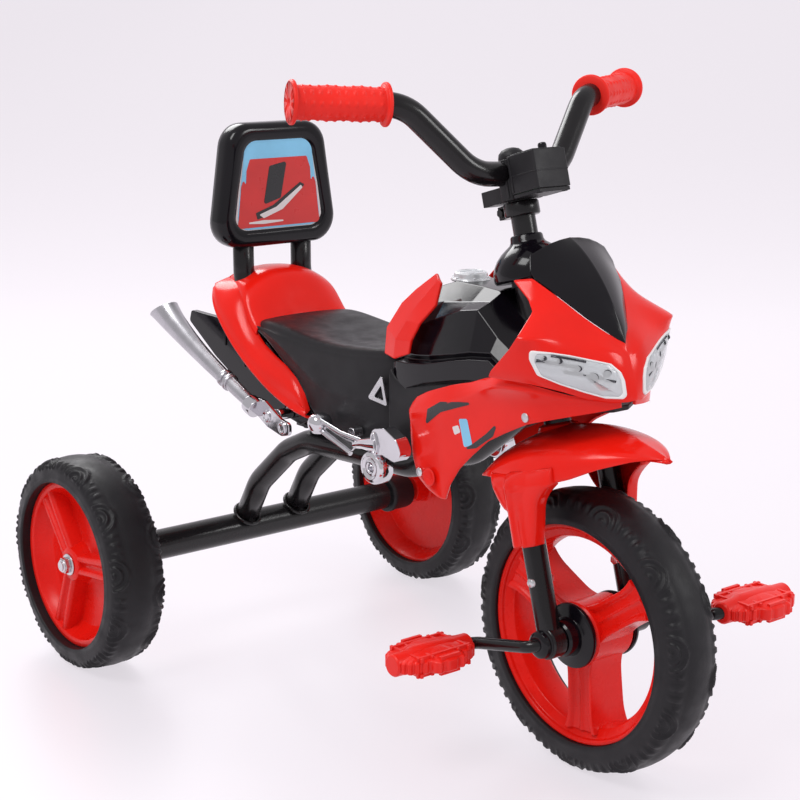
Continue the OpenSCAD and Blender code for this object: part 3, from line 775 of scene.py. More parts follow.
def grip(word, sign):
    """A soft grip with flanges, finger rings and raised studs, round the end of the bar."""
    a, b = at(*BAR[2]), at(*BAR[3])
    start = a.lerp(b, 0.15)
    along = (b - start).normalized()
    length = (b - start).length / MM + 4
    side = along.cross(UP).normalized()
    up = side.cross(along)
    stations, count = 150, 72
    rows = []
    for i in range(stations + 1):
        s = length * i / stations
        r = 14.6
        for flange in (0, length - 4.5):
            if flange <= s <= flange + 4.5:
                r = 19 - 0.9 * abs((s - flange - 2.25) / 2.25) ** 4 * 2
        body_zone = 8 < s < length - 10
        row = []
        for t in turns(count):
            rr = r
            if body_zone:
                rr += 0.55 * max(0, math.sin(s * 2 * math.pi / 7.5)) * max(0, math.cos(t * 9)) * 1.8
                rr += 0.35 * math.cos(s * 2 * math.pi / 26)
            row.append(start + along * (s * MM) + (side * math.cos(t) + up * math.sin(t)) * (rr * MM))
        rows.append(row)

    def disc(r, s):
        return [start + along * (s * MM) + (side * math.cos(t) + up * math.sin(t)) * (r * MM)
                for t in turns(count)]

    rows += [disc(17.4, length), disc(4.2, length), disc(3.4, length - 0.8), disc(3.2, length - 5)]
    rows.insert(0, disc(11.2, 0))
    part = grid(rows, wrap_cols=True, caps=True)
    if sign < 0:
        part = mirrored(part)
    return make(f"grip_{word}", part, "steering", RED_GRIP)


def clamp_parts():
    """Everything on the stem: clamp block, cap, horn box with button and cover, and collar."""
    column = slab(rounded([(-19.6, -11.4), (19.6, -11.4), (19.6, 5), (-19.6, 5)], 4), steered, 385.2, 421)
    heel = box(steered, (-15, 4, 385.2), (15, 33, 399))
    crown = box(steered, (-16, 4, 405), (16, 31, 417))
    cheeks = [box(steered, (x - 1.2, -9, 387), (x + 1.2, -6.5, 419)) for x in (-19.4, 19.4)]
    ribs = [box(steered, (-15, 11 + 4.4 * k, 416), (15, 13.4 + 4.4 * k, 420.5 - 0.8 * k)) for k in range(5)]
    bevel(make("handlebar_clamp", joined(column, heel, crown, *cheeks, *ribs), "steering", CHARCOAL), 1.1, 3)
    cap = lathe([(419, 4), (419, 11.5), (424, 12), (428, 11), (431, 8), (432.4, 4), (432.8, 1)],
                steered(0, 2, 0), STEER, 48)
    bevel(make("stem_cap", cap, "steering", CHARCOAL), 0.4, 2)
    outline = rounded([(-20, -46.5), (20, -46.5), (20, -12), (-20, -12)], 2.5)
    shell = slab(outline, steered, 388.8, 422.4)
    lid = slab([(a * 0.88, -30 + (b + 30) * 0.88) for a, b in outline], steered, 422.4, 423.6)
    seam = slab([(a * 1.02, -30 + (b + 30) * 1.02) for a, b in outline], steered, 403.5, 405)
    rails = [box(steered, (x - 0.8, -16, 390), (x + 0.8, -13.5, 421)) for x in (-20, 20)]
    bevel(make("horn_box", joined(shell, lid, seam, *rails), "steering", CHARCOAL), 0.9, 3)
    cover = slab([(a * 0.97, -30 + (b + 30) * 0.97) for a, b in outline], steered, 385.2, 388.4)
    screws = [lathe([(384.6, 2.6), (385.4, 2.8)], steered(a, b, 0), STEER, 24)
              for a, b in ((-15, -42), (15, -42))]
    bevel(make("horn_box_cover", joined(cover, *screws), "steering", CHARCOAL), 0.8, 3)
    button = lathe([(417, 3.9), (427, 3.9), (428.6, 3.2), (429.2, 1.4)], steered(0, -39, 0), STEER, 48)
    bevel(make("horn_button", button, "horn_button", BLACK), 0.3, 2)
    collar = lathe([(371, 11.2), (371, 15), (372.5, 16), (382.5, 16), (384, 15), (384, 11.2)], AXLE,
                   STEER, 48,
                   closed=True)
    ear = box(steered, (-6, 10, 371.5), (6, 25, 383.5))
    bolt = lathe([(-9.5, 4.2), (-6, 4.2), (6, 4.2), (9.5, 4.2)], steered(0, 19.5, 377.5), X, 6)
    bevel(make("stem_collar", joined(collar, ear, bolt), "steering", STEEL), 0.8, 2)


def headset_cover():
    """The domed cover over the head tube's upper end."""
    dome = lathe([
        (314, 14), (314, 33), (316, 34.6), (322, 34.8), (329, 33), (335, 29.5), (340, 25), (344, 20),
        (346.5, 16.4), (349, 15), (353, 14.6), (354.6, 13.4), (354.6, 11.5)
    ], AXLE, STEER, 72)
    return bevel(make("headset_cover", dome, "frame", BLACK), 0.5, 2)


fork()
fork_ends()
cranks()
for word, sign in SIDES:
    pedal(word, sign)
    grip(word, sign)
front_mudguard()
handlebar()
clamp_parts()
headset_cover()


# ---------------------------------------------------------------- front body

FAIRING = [  # rows from the lower lip up to the windshield, columns from the nose to the rear edge
    [(0, -44, 343.5), (9, -42.5, 343), (22, -34.5, 342.5), (40, -24.5, 346.5), (56, -15, 353), (68, -5, 357),
     (77, 7, 359.5), (84, 25, 360.5), (88, 45, 361)],
    [(0, -45, 347), (11, -42, 346.5), (25, -36.5, 347.5), (42, -28.5, 352.5), (58, -19, 358.5),
     (71, -10, 363.5),
     (82, -1, 368), (89, 20, 369), (90, 40, 367)],
    [(0, -40, 366), (11, -40.5, 368), (22, -35.5, 377), (36, -28.5, 381.5), (52, -20.5, 385.5),
     (66, -13, 388.5), (81, -7, 391), (91, 3, 392), (92, 16, 389)],
    [(0, -34.5, 379), (8, -35, 381), (18, -31, 387), (32, -22.5, 391.5), (48, -13.5, 395.5), (62, -8.5, 398),
     (78, -6, 400), (91, -2, 400), (93.5, 5, 401)],
    [(0, -31.5, 385.5), (6.5, -29, 388), (15, -24, 393.5), (25, -15.5, 400), (36, -7.5, 406), (46, -1, 411),
     (56, 4, 414.5), (63, 9, 416), (65, 16, 418.5)],
    [(0, -30.4, 388), (6, -26.5, 391), (14, -21.5, 396.5), (22.5, -13, 403.5), (31, -5, 410), (40, 3, 417.5),
     (49, 12, 424), (56, 20, 427), (60, 27, 427)],
    [(0, -29.3, 390.4), (5.5, -24, 394.5), (13, -19, 399.7), (20, -11, 406.5), (27, -3, 413.8), (35, 8, 424),
     (43, 20, 434), (50, 33, 443), (60, 46, 441)]
]
SHIELD = [  # middle and edge of the windshield, from its tip up
    ((0, -29.6, 390.2), (5, -25, 393.5)), ((0, -24.5, 401), (13, -19.2, 400.4)),
    ((0, -17.5, 415), (23, -7.2, 410.6)), ((0, -7.3, 431.7), (34, 6.5, 423.5)),
    ((0, 5, 446.5), (42.5, 19, 434.5)), ((0, 18.5, 459.5), (48.5, 31, 442.5)),
    ((0, 31, 468.5), (50, 36, 449)), ((0, 40, 473), (45, 42, 461))
]


def fairing():
    """The front fairing, creased down its middle and along the brow over the lamps."""
    rows = whole([[at(*p) for p in row] for row in FAIRING])
    obj = make("front_fairing", grid(rows), "frame", RED)
    crease_middle(obj, 0.8)
    crease_row(obj, 3, 9, 0.7)
    return subdivide(thicken(obj, 3), 3)


def windshield():
    """The dark shield on top of the fairing, bulged between its middle and its edge."""
    rows = []
    for middle, edge in SHIELD:
        swell = (0, -2.2 * edge[0] / 50, 3.5 * edge[0] / 50)
        rows.append([at(*p) for p in interpolated(middle, edge, swell, 4)])
    rows = whole(rows)
    obj = make("windshield", grid(rows), "frame", BLACK)
    crease_middle(obj)
    return subdivide(thicken(obj, 2.6), 3)


def surface_tree(obj):
    """A piece's finished surface, for laying others on it."""
    dg = bpy.context.evaluated_depsgraph_get()
    return BVHTree.FromObject(obj, dg)


def laid_on(tree, points, lift):
    """Points pushed onto a surface and raised off it by a length in mm, away from the middle."""
    out = []
    for p in points:
        spot, normal, _, _ = tree.find_nearest(p)
        if normal.dot(p - at(0, 60, 380)) < 0:
            normal = -normal
        out.append(spot + normal * (lift * MM))
    return out


def headlight(tree):
    """The near half of the lamps: border, reflector details and lens, laid on the fairing."""
    corners = [(86.4, -3, 390.9), (69.4, -11, 388.5), (54.4, -18.6, 385.5), (33.4, -27.1, 379.5),
               (21.8, -34.1, 376.5), (14, -39.3, 369), (11, -40.6, 361.6), (9.5, -42.1, 348.5),
               (12.5, -40.1, 346), (27.2, -34.6, 347.3), (44.3, -26.4, 353.2), (62.7, -15.4, 360.7),
               (80.1, -5.5, 368.4), (87.5, -3.3, 381.1)]
    outline = fillet([at(*p) for p in corners], 4, 4, closed=True)
    centre = sum(outline, Vector()) / len(outline)

    def loop(scale, lift):
        return laid_on(tree, [centre + (p - centre) * scale for p in outline], lift)

    border = grid([loop(1.0, -0.6), loop(1.0, 0.9), loop(0.975, 1.6), loop(0.90, 1.6), loop(0.88, 0.9),
                   loop(0.875, -0.6)], wrap_cols=True)
    rings = [loop(k, 0.7) for k in (0.9, 0.7, 0.45, 0.2, 0.05)]
    back = grid(rings, wrap_cols=True)
    glass = grid([loop(0.9, 0.4), loop(0.885, 1.3), loop(0.7, 1.9), loop(0.45, 2.2), loop(0.2, 2.3),
                  loop(0.03, 2.3)], wrap_cols=True)
    return border, back, glass


def lamp_details(tree):
    """Small chrome ellipses and fins behind the lens."""
    parts = []
    for x, y, z, size, tall in ((38, -30, 366, 5, 4.5), (27, -36, 369, 4, 3.4), (50, -22, 374, 4.6, 3.2),
                                (64, -14, 381, 4.2, 2.6), (75, -8, 384, 3.4, 2.2)):
        spot = laid_on(tree, [at(x, y, z)], 1.0)[0]
        normal = (spot - at(0, 30, 365)).normalized()
        side = normal.cross(UP).normalized()
        up = side.cross(normal)
        rows = []
        for k, lift in ((1, 0), (0.86, 0.9), (0.7, 0.3), (0.3, 0.2), (0.05, 0.6)):
            rows.append([spot + (side * (math.cos(t) * size * k) + up * (math.sin(t) * tall * k)
                         + normal * lift) * MM for t in turns(32)])
        parts.append(grid(rows, wrap_cols=True))
    for x, y, z, w in ((62, -14, 378, 34), (56, -18, 382, 26), (44, -25, 368, 30), (24, -36, 362, 8)):
        steps = (-w / 2, -w / 4, 0, w / 4, w / 2)
        spots = laid_on(tree, [at(x + d, y + d * 0.6, z + d * 0.24) for d in steps], 1.2)
        parts.append(sweep(spots, [(1.7, 0), (0, 0.7), (-1.7, 0), (0, -0.7)]))
    return joined(*parts)


def headlights(body_obj):
    """White border, reflector, details and lens of both lamps."""
    tree = surface_tree(body_obj)
    border, back, glass = headlight(tree)
    subdivide(make("headlight_rims", both(border), "frame", WHITE), 1)
    make("headlight_backs", both(back), "frame", PALE_CHROME, replaces=("headlight_reflectors",))
    make("headlight_details", both(lamp_details(tree)), "frame", DARK_TRIM_AND_SHADE)
    subdivide(make("headlight_lenses", both(glass), "frame", LENS), 1)


SIDE = [  # distance back, top, bottom, distance out, extra distance out at the top
    (179.5, 308, 288, 62.5, 0), (176, 312, 262, 64, 0), (168, 319, 244, 65, 0), (151, 327, 235, 66.5, 0),
    (134, 333, 230.5, 67.5, 0), (125, 336, 231, 68, 0), (118, 338.5, 246, 68, 0), (106, 342, 263, 68, 0),
    (90, 346, 278, 68, 1), (68, 354, 296.5, 68, 3), (45, 360, 308.5, 68, 11), (20, 360, 320.5, 68, 10),
    (0, 356.5, 327, 63, 6), (-16, 350, 331.5, 48, 3), (-28, 345.5, 334.5, 27, 1), (-35, 342.5, 337, 8, 0)
]


def side_panel():
    """Rows down one panel: a ridge runs along it a little below the fairing's lip."""
    rows = []
    for k, swell, flare in ((0, -1, 1), (0.06, 1, 1), (0.17, 3.6, 0.9), (0.24, 3.2, 0.6), (0.45, 1.6, 0.1),
                            (0.7, 1, 0), (0.94, 0.4, 0), (1, -1.5, 0)):
        rows.append([at(out + more * flare + swell * min(1, (top - bottom) / 40), y, top + (bottom - top) * k)
                     for y, top, bottom, out, more in SIDE])
    return grid(rows)


def side_panels():
    """Both side panels."""
    obj = make("side_panels", both(side_panel()), "frame", RED)
    return subdivide(thicken(obj, 2.6), 3)


def sticker(name, tree, outline, paint, lift=0.25, steps=14):
    """A thin printed patch laid on a panel: outline points (back, up), filled as a fan of rings."""
    path = [at(90, y, z) for y, z in outline]
    centre = sum(path, Vector()) / len(path)
    rows = []
    for i in range(steps + 1):
        k = 1 - 0.98 * i / steps
        row = []
        for p in path:
            q = centre + (p - centre) * k
            hit = tree.ray_cast(q, -X)
            spot, normal = (hit[0], hit[1]) if hit[0] else (q, X)
            if normal.x < 0:
                normal = -normal
            row.append(spot + normal * (lift * MM))
        rows.append(row)
    return make(name, both(grid(rows, wrap_cols=True)), "frame", paint)


STICKERS = {  # outline as (back, up), corner radius and print of each patch
    "side_stripe_upper": ([(150, 296), (146, 312), (128, 322), (100, 327), (78, 330), (104, 321),
                           (126, 313), (140, 304)], 1.5, INK),
    "side_stripe_lower": ([(52, 318), (60, 303), (82, 288), (100, 283), (86, 291), (68, 304)], 1.5, INK),
    "side_block_blue": ([(103, 311), (92, 313), (86, 290), (97, 286)], 2, BLUE),
    "side_block_pale": ([(112, 302), (104, 305), (101, 299), (109, 295)], 1.5, PALE)
}


def side_stickers(panel):
    """Plain printed patches on the side panels, and the round badge below them."""
    tree = surface_tree(panel)
    for name, (outline, radius, paint) in STICKERS.items():
        sticker(name, tree, rounded(outline, radius, 5), paint)
    ring_part = lathe([(69.0, 3), (70.4, 8), (71.2, 8.6), (71.4, 6.8), (70.4, 4), (70.6, 0.5)],
                      at(0, 143, 249), X, 40)
    make("side_badges", both(ring_part), "frame", RED_RIM)


fairing_obj = fairing()
windshield()
headlights(fairing_obj)
panels_obj = side_panels()
side_stickers(panels_obj)

TANK = [  # distance back, then heights at 0, 20 and 35 mm out, then shoulder, side, ledge and base
    (48, 380, 379, 374, (47, 368), (56, 356), (55, 353), (60, 351), (60, 340)),
    (76, 401, 400, 394, (50, 386), (58.5, 373), (55, 368), (60.5, 366), (60, 345)),
    (102, 420, 419.5, 412, (50, 406.5), (59, 370), (55, 365), (60.5, 363), (60, 344)),
    (126, 421.5, 421, 409, (50, 402.5), (58, 364), (54, 360), (60.5, 358), (60, 340)),
    (165, 422, 421.5, 404, (46, 389), (53, 356), (51, 351), (60, 349), (60, 331)),
    (190, 415, 413.5, 398, (44, 380), (50, 353), (49, 348), (59, 346), (59, 322)),
    (207, 401, 399, 388, (42, 373), (47, 352), (46, 347), (57, 345), (57, 300)),
    (214, 384, 382, 374, (40, 364), (45, 350), (45, 346), (55, 343), (55, 285))
]


def tank():
    """A faceted tank: flat top, sloping shoulders, a hollow above a ledge and straight lower sides."""
    rows = [[at(0, y, top), at(20, y, inner), at(35, y, outer)] + [at(out, y, up) for out, up in sides]
            for y, top, inner, outer, *sides in TANK]
    obj = make("tank", grid(whole(rows)), "frame", BLACK)
    return bevel(thicken(obj, 2.5), 1.6, 3, 9)


def tank_back():
    """The charcoal inner cover between tank, seat and side panels."""
    rows = []
    for y, top, low in ((96, 340, 306), (120, 338, 288), (150, 333, 274), (176, 327, 260), (197, 324, 252),
                        (208, 330, 254), (214, 338, 262)):
        rows.append([at(57, y, top), at(60, y, top - 4), at(60.5, y, (top + low) / 2), at(60, y, low + 4),
                     at(55, y, low)])
    obj = make("inner_covers", both(grid(rows)), "frame", CHARCOAL)
    return subdivide(thicken(obj, 2.5), 2)


def fuel_cap():
    """A stepped round cap with a two-bar grip and six small bolts."""
    base = lathe([(0, 2), (0, 18), (1.4, 19), (2.8, 18.2), (3.2, 16), (7, 15.4), (8.4, 14), (8.8, 11.4),
                  (7.6, 10.4),
                  (7.2, 1)], at(0, 168, 420), UP, 64)
    bars = [box(at, (-10, 168 + d - 1.5, 426), (10, 168 + d + 1.5, 429)) for d in (-4.5, 4.5)]
    bolts = [lathe([(0, 1.3), (1.2, 1.3), (1.8, 0.7)], at(x, 168 + y, 422.4), UP, 16)
             for x, y in ring(16.9, 6)]
    return bevel(make("fuel_cap", joined(base, *bars, *bolts), "frame", PALE_CHROME), 0.3, 2)


def knee_panel():
    """Rows from the rear edge over the fold to the front edge, running down from the top corner."""
    rows = [
        [(35, 172, 428.4), (40, 195, 411.6), (45, 210, 397.5), (50, 226, 373), (54, 224, 349)],
        [(40, 163, 424.5), (48, 180, 403), (54, 192, 384), (58, 203, 366), (58.5, 205, 347.5)],
        [(42, 158, 422.5), (50, 156, 403), (57, 170, 385), (59, 180, 368), (60, 182, 356)]
    ]
    return grid([[at(*p) for p in row] for row in rows])


def knee_panels():
    """Both knee panels on the flanks of the tank."""
    obj = make("knee_panels", both(knee_panel()), "frame", RED)
    return bevel(thicken(obj, 3.2, offset=1), 1.1, 3, 9)


def nose_underpanel():
    """A flat closing plate under the nose."""
    outline = [(-9, -27), (9, -27), (40, -8), (52, 8), (54, 60), (-54, 60), (-52, 8), (-40, -8)]
    part = slab(rounded(outline, 5), at, 331, 336)
    return bevel(make("nose_underpanel", part, "frame", CHARCOAL), 1.2, 3)


tank()
tank_back()
fuel_cap()
knee_panels()
nose_underpanel()


# ---------------------------------------------------------------- seat and tail

SEAT = [  # distance back, heights of the middle and the side roll, half width, skirt bottom and half width
    (215, 350, 352, 47, 266, 53), (226, 348, 353, 53, 258, 59), (250, 344, 350, 57, 255, 61.5),
    (285, 341, 347, 58.5, 254, 62), (312, 340, 346, 58.5, 256, 62), (334, 341, 346.5, 58.5, 270, 61.5),
    (358, 344, 348, 58.5, 290, 60.5), (392, 350, 352, 58, 318, 60), (420, 354, 354, 57, 334, 59.5),
    (438, 354, 351, 54, 339, 57), (446, 350, 346, 50, 339, 53)
]


def seat():
    """A saddle with rolled sides; a step runs along its skirt below the roll and a crease lower down."""
    rows = []
    for y, mid, roll, wide, low, base in SEAT:
        drop = roll - low
        rows.append([
            at(0, y, mid), at(wide * 0.45, y, mid + 0.15 * (roll - mid)),
            at(wide * 0.8, y, mid + 0.85 * (roll - mid)),
            at(wide * 0.94, y, roll), at(wide, y, roll - 3), at(wide + 0.4, y, roll - 7),
            at(wide + 2.6, y, roll - 9),
            at(wide + 3.4, y, roll - 0.30 * drop), at(base + 2.4, y, roll - 0.52 * drop),
            at(base + 0.4, y, roll - 0.56 * drop), at(base - 1, y, low + 4), at(base - 3, y, low)
        ])
    obj = make("seat", grid(whole(rows)), "frame", CHARCOAL)
    return subdivide(thicken(obj, 3, crease=0.3), 2)


def seat_details():
    """A raised triangular badge frame on each skirt; the screw recesses for the top are built into a list
    that is never made into a piece.
    """
    parts = []
    for x, y, z in ((-30, 337, 341.6), (30, 337, 341.6), (-30, 272, 342), (30, 272, 342)):
        parts.append(lathe([(0, 5.6), (1.1, 5.2), (1.1, 3.6), (0.3, 3.2)], at(x, y, z), UP, 32))
    outline = rounded([(214, 301), (244, 304), (222, 330)], 2)
    inner = rounded([(219, 305.5), (234, 307), (223, 320)], 1.2)
    skin = 61.2
    rows = [[at(skin, a, b) for a, b in outline], [at(skin + 1.6, a, b) for a, b in outline],
            [at(skin + 1.6, a, b) for a, b in inner], [at(skin, a, b) for a, b in inner]]
    part = grid(rows, wrap_cols=True)
    bevel(make("seat_badges", both(part), "frame", BRIGHT), 0.3, 2)


BAND = [  # distance back, lower edge height, upper edge height, distance out below, distance out above
    (338, 268, 274, 66, 64), (346, 270, 290, 69, 64.5), (360, 274, 303, 71.5, 64), (378, 281, 312, 73, 62.5),
    (398, 290, 319, 74.5, 61.5), (418, 301, 328, 75, 61), (438, 313, 342, 75, 60), (456, 325, 366, 74.5, 57),
    (472, 338, 382, 73.5, 52), (490, 352, 385, 71, 47), (504, 365, 386, 66, 42), (512, 373, 386, 58, 38)
]
DECK = [  # distance back, height in the middle and at the edge, half width
    (430, 352, 344, 60), (440, 372, 352, 60), (449, 389, 364, 59), (457, 397, 375, 57), (472, 400, 384, 52),
    (490, 399, 386.5, 47), (504, 397, 387.5, 42), (513, 392, 386, 38)
]


def tail_cowl():
    """Side bands that narrow at the waist, the crowned deck behind the seat, and the rear lip."""
    rows = []
    for y, low, high, out_low, out_high in BAND:
        rows.append([at(out_low - 3, y, low - 1.5), at(out_low + 1, y, low - 0.5),
                     at(out_low + 2, y, low + 3),
                     at(out_low - 0.4, y, low + 5), at(out_low - 1, y, low + 0.35 * (high - low) + 3),
                     at((out_low + out_high) / 2 + 2.5, y, low + 0.75 * (high - low)), at(out_high, y, high),
                     at(out_high - 3, y, high + 0.5)])
    obj = make("tail_cowl", both(grid(rows)), "frame", RED)
    subdivide(thicken(obj, 2.4), 2)
    curve = ((0, 0), (0.4, 0.12), (0.7, 0.45), (0.9, 0.8), (1, 1))
    deck = [[at(wide * k, y, mid - drop * (mid - edge)) for k, drop in curve] + [at(wide + 2, y, edge - 6)]
            for y, mid, edge, wide in DECK]
    top = make("tail_deck", grid(whole(deck)), "frame", RED)
    subdivide(thicken(top, 2.4), 3)
    lip = [[at(0, 510, 395), at(20, 510, 394), at(38, 509, 388), at(54, 507, 378), at(63, 503, 367)],
           [at(0, 516, 388), at(20, 516, 387), at(37, 515, 381), at(52, 512, 371), at(61, 507, 361)],
           [at(0, 512, 374), at(20, 512, 373), at(36, 511, 368), at(50, 508, 360), at(58, 503, 353)]]
    end = make("tail_end", grid(whole(lip)), "frame", RED)
    subdivide(thicken(end, 2.4), 3)


def tail_underpanels():
    """Dark ribbed panels inboard of the exhausts, and the screws of all panels."""
    outline = rounded([(345, 262), (357, 256), (446, 271), (511, 303), (560, 334), (556, 346), (500, 345),
                       (440, 316), (392, 290), (345, 270)], 4)
    part = slab(outline, sideways, 53, 60)
    ribs = [box(at, (59.5, 380 + 36 * k, 268 + 15 * k + 0.45 * k * k), (61.5, 383 + 36 * k, 282 + 19 * k))
            for k in range(4)]
    bolt = lathe([(60, 5.4), (62.4, 5.4), (63.6, 4), (64, 1)], at(0, 372, 274), X, 32)
    obj = make("tail_underpanels", both(joined(part, *ribs)), "frame", BLACK)
    bevel(obj, 1.6, 3)
    heads = [lathe([(66, 1), (66.4, 4), (68.4, 4.2), (69.2, 3), (69.4, 1)], at(0, y, z), X, 28)
             for y, z in ((20, 327), (160, 250))]
    bevel(make("panel_screws", both(joined(bolt, *heads)), "frame", BRIGHT), 0.3, 2)


def trapezoid(low_half, high_half, low, high, radius, steps=10):
    """The outline of the backrest, narrower at the top, with round corners."""
    return rounded([(low_half, low), (high_half, high), (-high_half, high), (-low_half, low)], radius, steps)


def backrest():
    """The moulded shell of the backrest, with a recess in its front for the print."""
    def layer(inset, y, dz=0):
        return [at(a, y, b + dz) for a, b in
                trapezoid(78 - inset * 1.05, 59 - inset, 420 + inset, 549 - inset, 27 - inset * 0.6)]

    rows = [layer(30, 499), layer(12, 499.5), layer(4, 498), layer(0.6, 494), layer(0, 489), layer(0, 481),
            layer(0.8, 476), layer(3, 472.8), layer(7, 471), layer(14, 471), layer(17.5, 472.2),
            layer(19, 474.6),
            layer(30, 474.6)]
    return make("backrest_shell", grid(rows, wrap_cols=True, caps=True), "frame", BLACK)


def backrest_print():
    """The printed insert: pale border, sky band, red field, and plain slashes in place of the number."""
    def flat(name, outline, y, paint):
        part = slab(outline, lambda a, b, d: at(a, d, b), y, 475)
        bevel(make(name, part, "frame", paint), 0.15, 1)

    flat("backrest_insert", trapezoid(57, 42.5, 436, 535, 15), 473.6, PALE)
    flat("insert_sky", trapezoid(54, 41, 439, 533.5, 13), 473.3, BLUE)
    field = [(52.5, 441), (50, 462), (47.5, 484), (44, 493), (41.5, 483), (40.5, 500), (36, 512),
             (-36, 512), (-40.5, 500), (-41.5, 483), (-44, 493), (-47.5, 484), (-50, 462), (-52.5, 441)]
    flat("insert_field", rounded(field, 2), 473.0, PRINT_RED)
    flat("insert_slash", rounded([(-12, 504), (10, 508), (2, 470), (-20, 464)], 2.5), 472.7, INK)
    shadow = [(-30, 456), (-8, 463), (27, 485), (33, 482), (0, 457), (-28, 449)]
    wing = [(-26, 454), (-4, 461), (28, 482), (30, 479), (4, 458), (-20, 450)]
    flat("insert_shadow", rounded(shadow, 1), 472.6, INK)
    flat("insert_wing", rounded(wing, 0.8), 472.45, PALE)
    flat("insert_streak", rounded([(-50, 446), (-20, 448), (20, 446), (-20, 444)], 0.8), 472.6, PALE)


seat()
seat_details()
tail_cowl()
tail_underpanels()
backrest()
backrest_print()


# ---------------------------------------------------------------- exhausts and chrome trim

PIPE_X = 86
PIPE_WAY = Vector((0, 0.93, 0.367))
PIPE = [  # distance back, height, half width across, half height of the silencer
    (398, 270, 4, 5), (402, 272, 6.4, 6.6), (412, 276, 7, 7), (444, 288.5, 7.2, 7.6), (484, 304, 8, 9),
    (520, 321, 9.4, 11), (546, 334.5, 11.6, 13.4), (560, 343, 13, 15), (568, 347.5, 13.8, 16)
]


def muffler():
    """A slim flared silencer with a slash-cut open end and a rolled lip, and a dark lining whose colour is
    painted shade inside the open end.
    """

    def loop(y, z, wide, tall, slash=0.0):
        along = Vector((0, 0.9, 0.436))
        up = Vector((0, -0.436, 0.9))
        return [at(PIPE_X, y, z) + (along * (slash * math.sin(t)) + X * (wide * math.cos(t))
                + up * (tall * math.sin(t))) * MM for t in turns(40)]

    rows = [loop(*station) for station in PIPE[:-2]]
    y, z, wide, tall = PIPE[-2]
    rows.append(loop(y, z, wide, tall, -5))
    y, z, wide, tall = PIPE[-1]
    rows += [loop(y, z, wide, tall, -10), loop(y + 1.5, z + 0.6, wide + 0.6, tall + 0.6, -11),
             loop(y + 1.5, z + 0.6, wide - 0.8, tall - 0.8, -11),
             loop(y - 1, z - 0.2, wide - 1.2, tall - 1.2, -10)]
    # The lining closes the pipe a little way in; its dark colour is painted shade.
    shade_lining = [loop(y - 1, z - 0.2, wide - 1.1, tall - 1.1, -10),
              loop(y - 5, z - 2.2, wide - 3, tall - 3.2, -7),
              loop(y - 40, z - 20, 7, 8.6, 0), loop(y - 42, z - 21, 1, 1, 0)]
    return grid(rows, wrap_cols=True), grid(shade_lining, wrap_cols=True)


def mufflers():
    """Both silencers, each with a strap along its top and two bands."""
    strap = sweep([at(PIPE_X, y, z + tall) for y, z, _, tall in PIPE[2:7]], ring(1.3, 10))
    bands = [lathe([(-3, 8.2), (-3, 9.4), (3, 9.6), (3, 8.4)], at(PIPE_X, y, z), PIPE_WAY, 32)
             for y, z in ((444, 288.5), (452, 291.6))]
    pipe, shade_lining = muffler()
    obj = make("mufflers", both(joined(pipe, strap, *bands)), "frame", SATIN_CHROME)
    subdivide(obj, 1)
    # The dark linings are painted shade inside the silencers' open ends.
    subdivide(make("muffler_shade_linings", both(shade_lining), "frame", DARK_TRIM_AND_SHADE), 1)


def exhaust_brackets():
    """Chrome plates with a collar round the pipe, bolts and a pin."""
    outline = [(346, 250), (360, 247), (384, 252), (408, 264), (404, 280), (388, 278), (360, 264), (346, 262)]
    plate = slab(rounded(outline, 5), sideways, 78, 82)
    collar = lathe([(-7, 8), (-7, 9.6), (0, 10.4), (6, 9.8), (7, 8)], at(PIPE_X, 403, 271), PIPE_WAY, 40)
    bolts = [lathe([(81.6, 6.4), (83.6, 6.4), (84, 4.4), (82.8, 3.4), (82.8, 1)], at(0, y, z), X, 32)
             for y, z in ((357, 256), (384, 263))]
    pin = lathe([(60.5, 5.8), (77.4, 5.8)], at(0, 372, 266), X, 32)
    return bevel(make("exhaust_brackets", both(joined(plate, collar, *bolts, pin)), "frame", CHROME), 0.9, 3)


def side_brackets():
    """Chrome engine trim: a ball end, two thin rods, a knuckle with a slot and a disc."""
    ball = lathe([(68, 3), (68, 8), (72, 10), (80, 10.6), (86, 9), (88.6, 5.6), (89.6, 1.5)],
                 at(0, 300, 271), X, 40)
    rods = [tube([at(81, 296, 276), at(81, 262, 269.5), at(81, 226, 268)], 2.6, 14, 20),
            tube([at(81, 294, 266), at(81, 246, 252)], 2.6, count=20)]
    web = slab(rounded([(290, 272), (262, 266), (236, 263), (246, 254), (286, 264)], 2),
               sideways, 78.5, 81)
    neck = sweep([at(81, y, z) for y, z in ((240, 262), (226, 266), (212, 268), (200, 270))],
                 ring(7, 24), scale=[0.5, 0.8, 1.1, 1.3])
    outline = [(212, 258), (208, 284), (190, 288), (172, 280), (164, 268), (174, 258), (192, 262)]
    lobe = slab(rounded(outline, 8), sideways, 72, 86)
    slot_lip = grid([[at(d, 203 + (a * 5 * w), 271 + (b * 11 * w) + a * 3) for a, b in ring(1)]
                     for d, w in ((86, 1), (88, 0.95), (88, 0.7), (85.6, 0.62))], wrap_cols=True)
    disc = lathe([(68, 4), (68, 14), (71, 16.4), (82, 16.4), (85.4, 14.4), (86.2, 11), (84.6, 8.4),
                  (85.6, 6.2), (85, 4),
                  (80, 3.4), (80, 1)], at(0, 211, 246), X, 48)
    boss = lathe([(61.5, 5), (73, 5)], at(0, 256, 269), X, 24)
    part = joined(ball, *rods, web, neck, lobe, slot_lip, disc, boss)
    obj = make("side_brackets", both(part), "frame", CHROME)
    return bevel(obj, 0.9, 3, 40)


mufflers()
exhaust_brackets()
side_brackets()


# ---------------------------------------------------------------- CAD pieces that stay

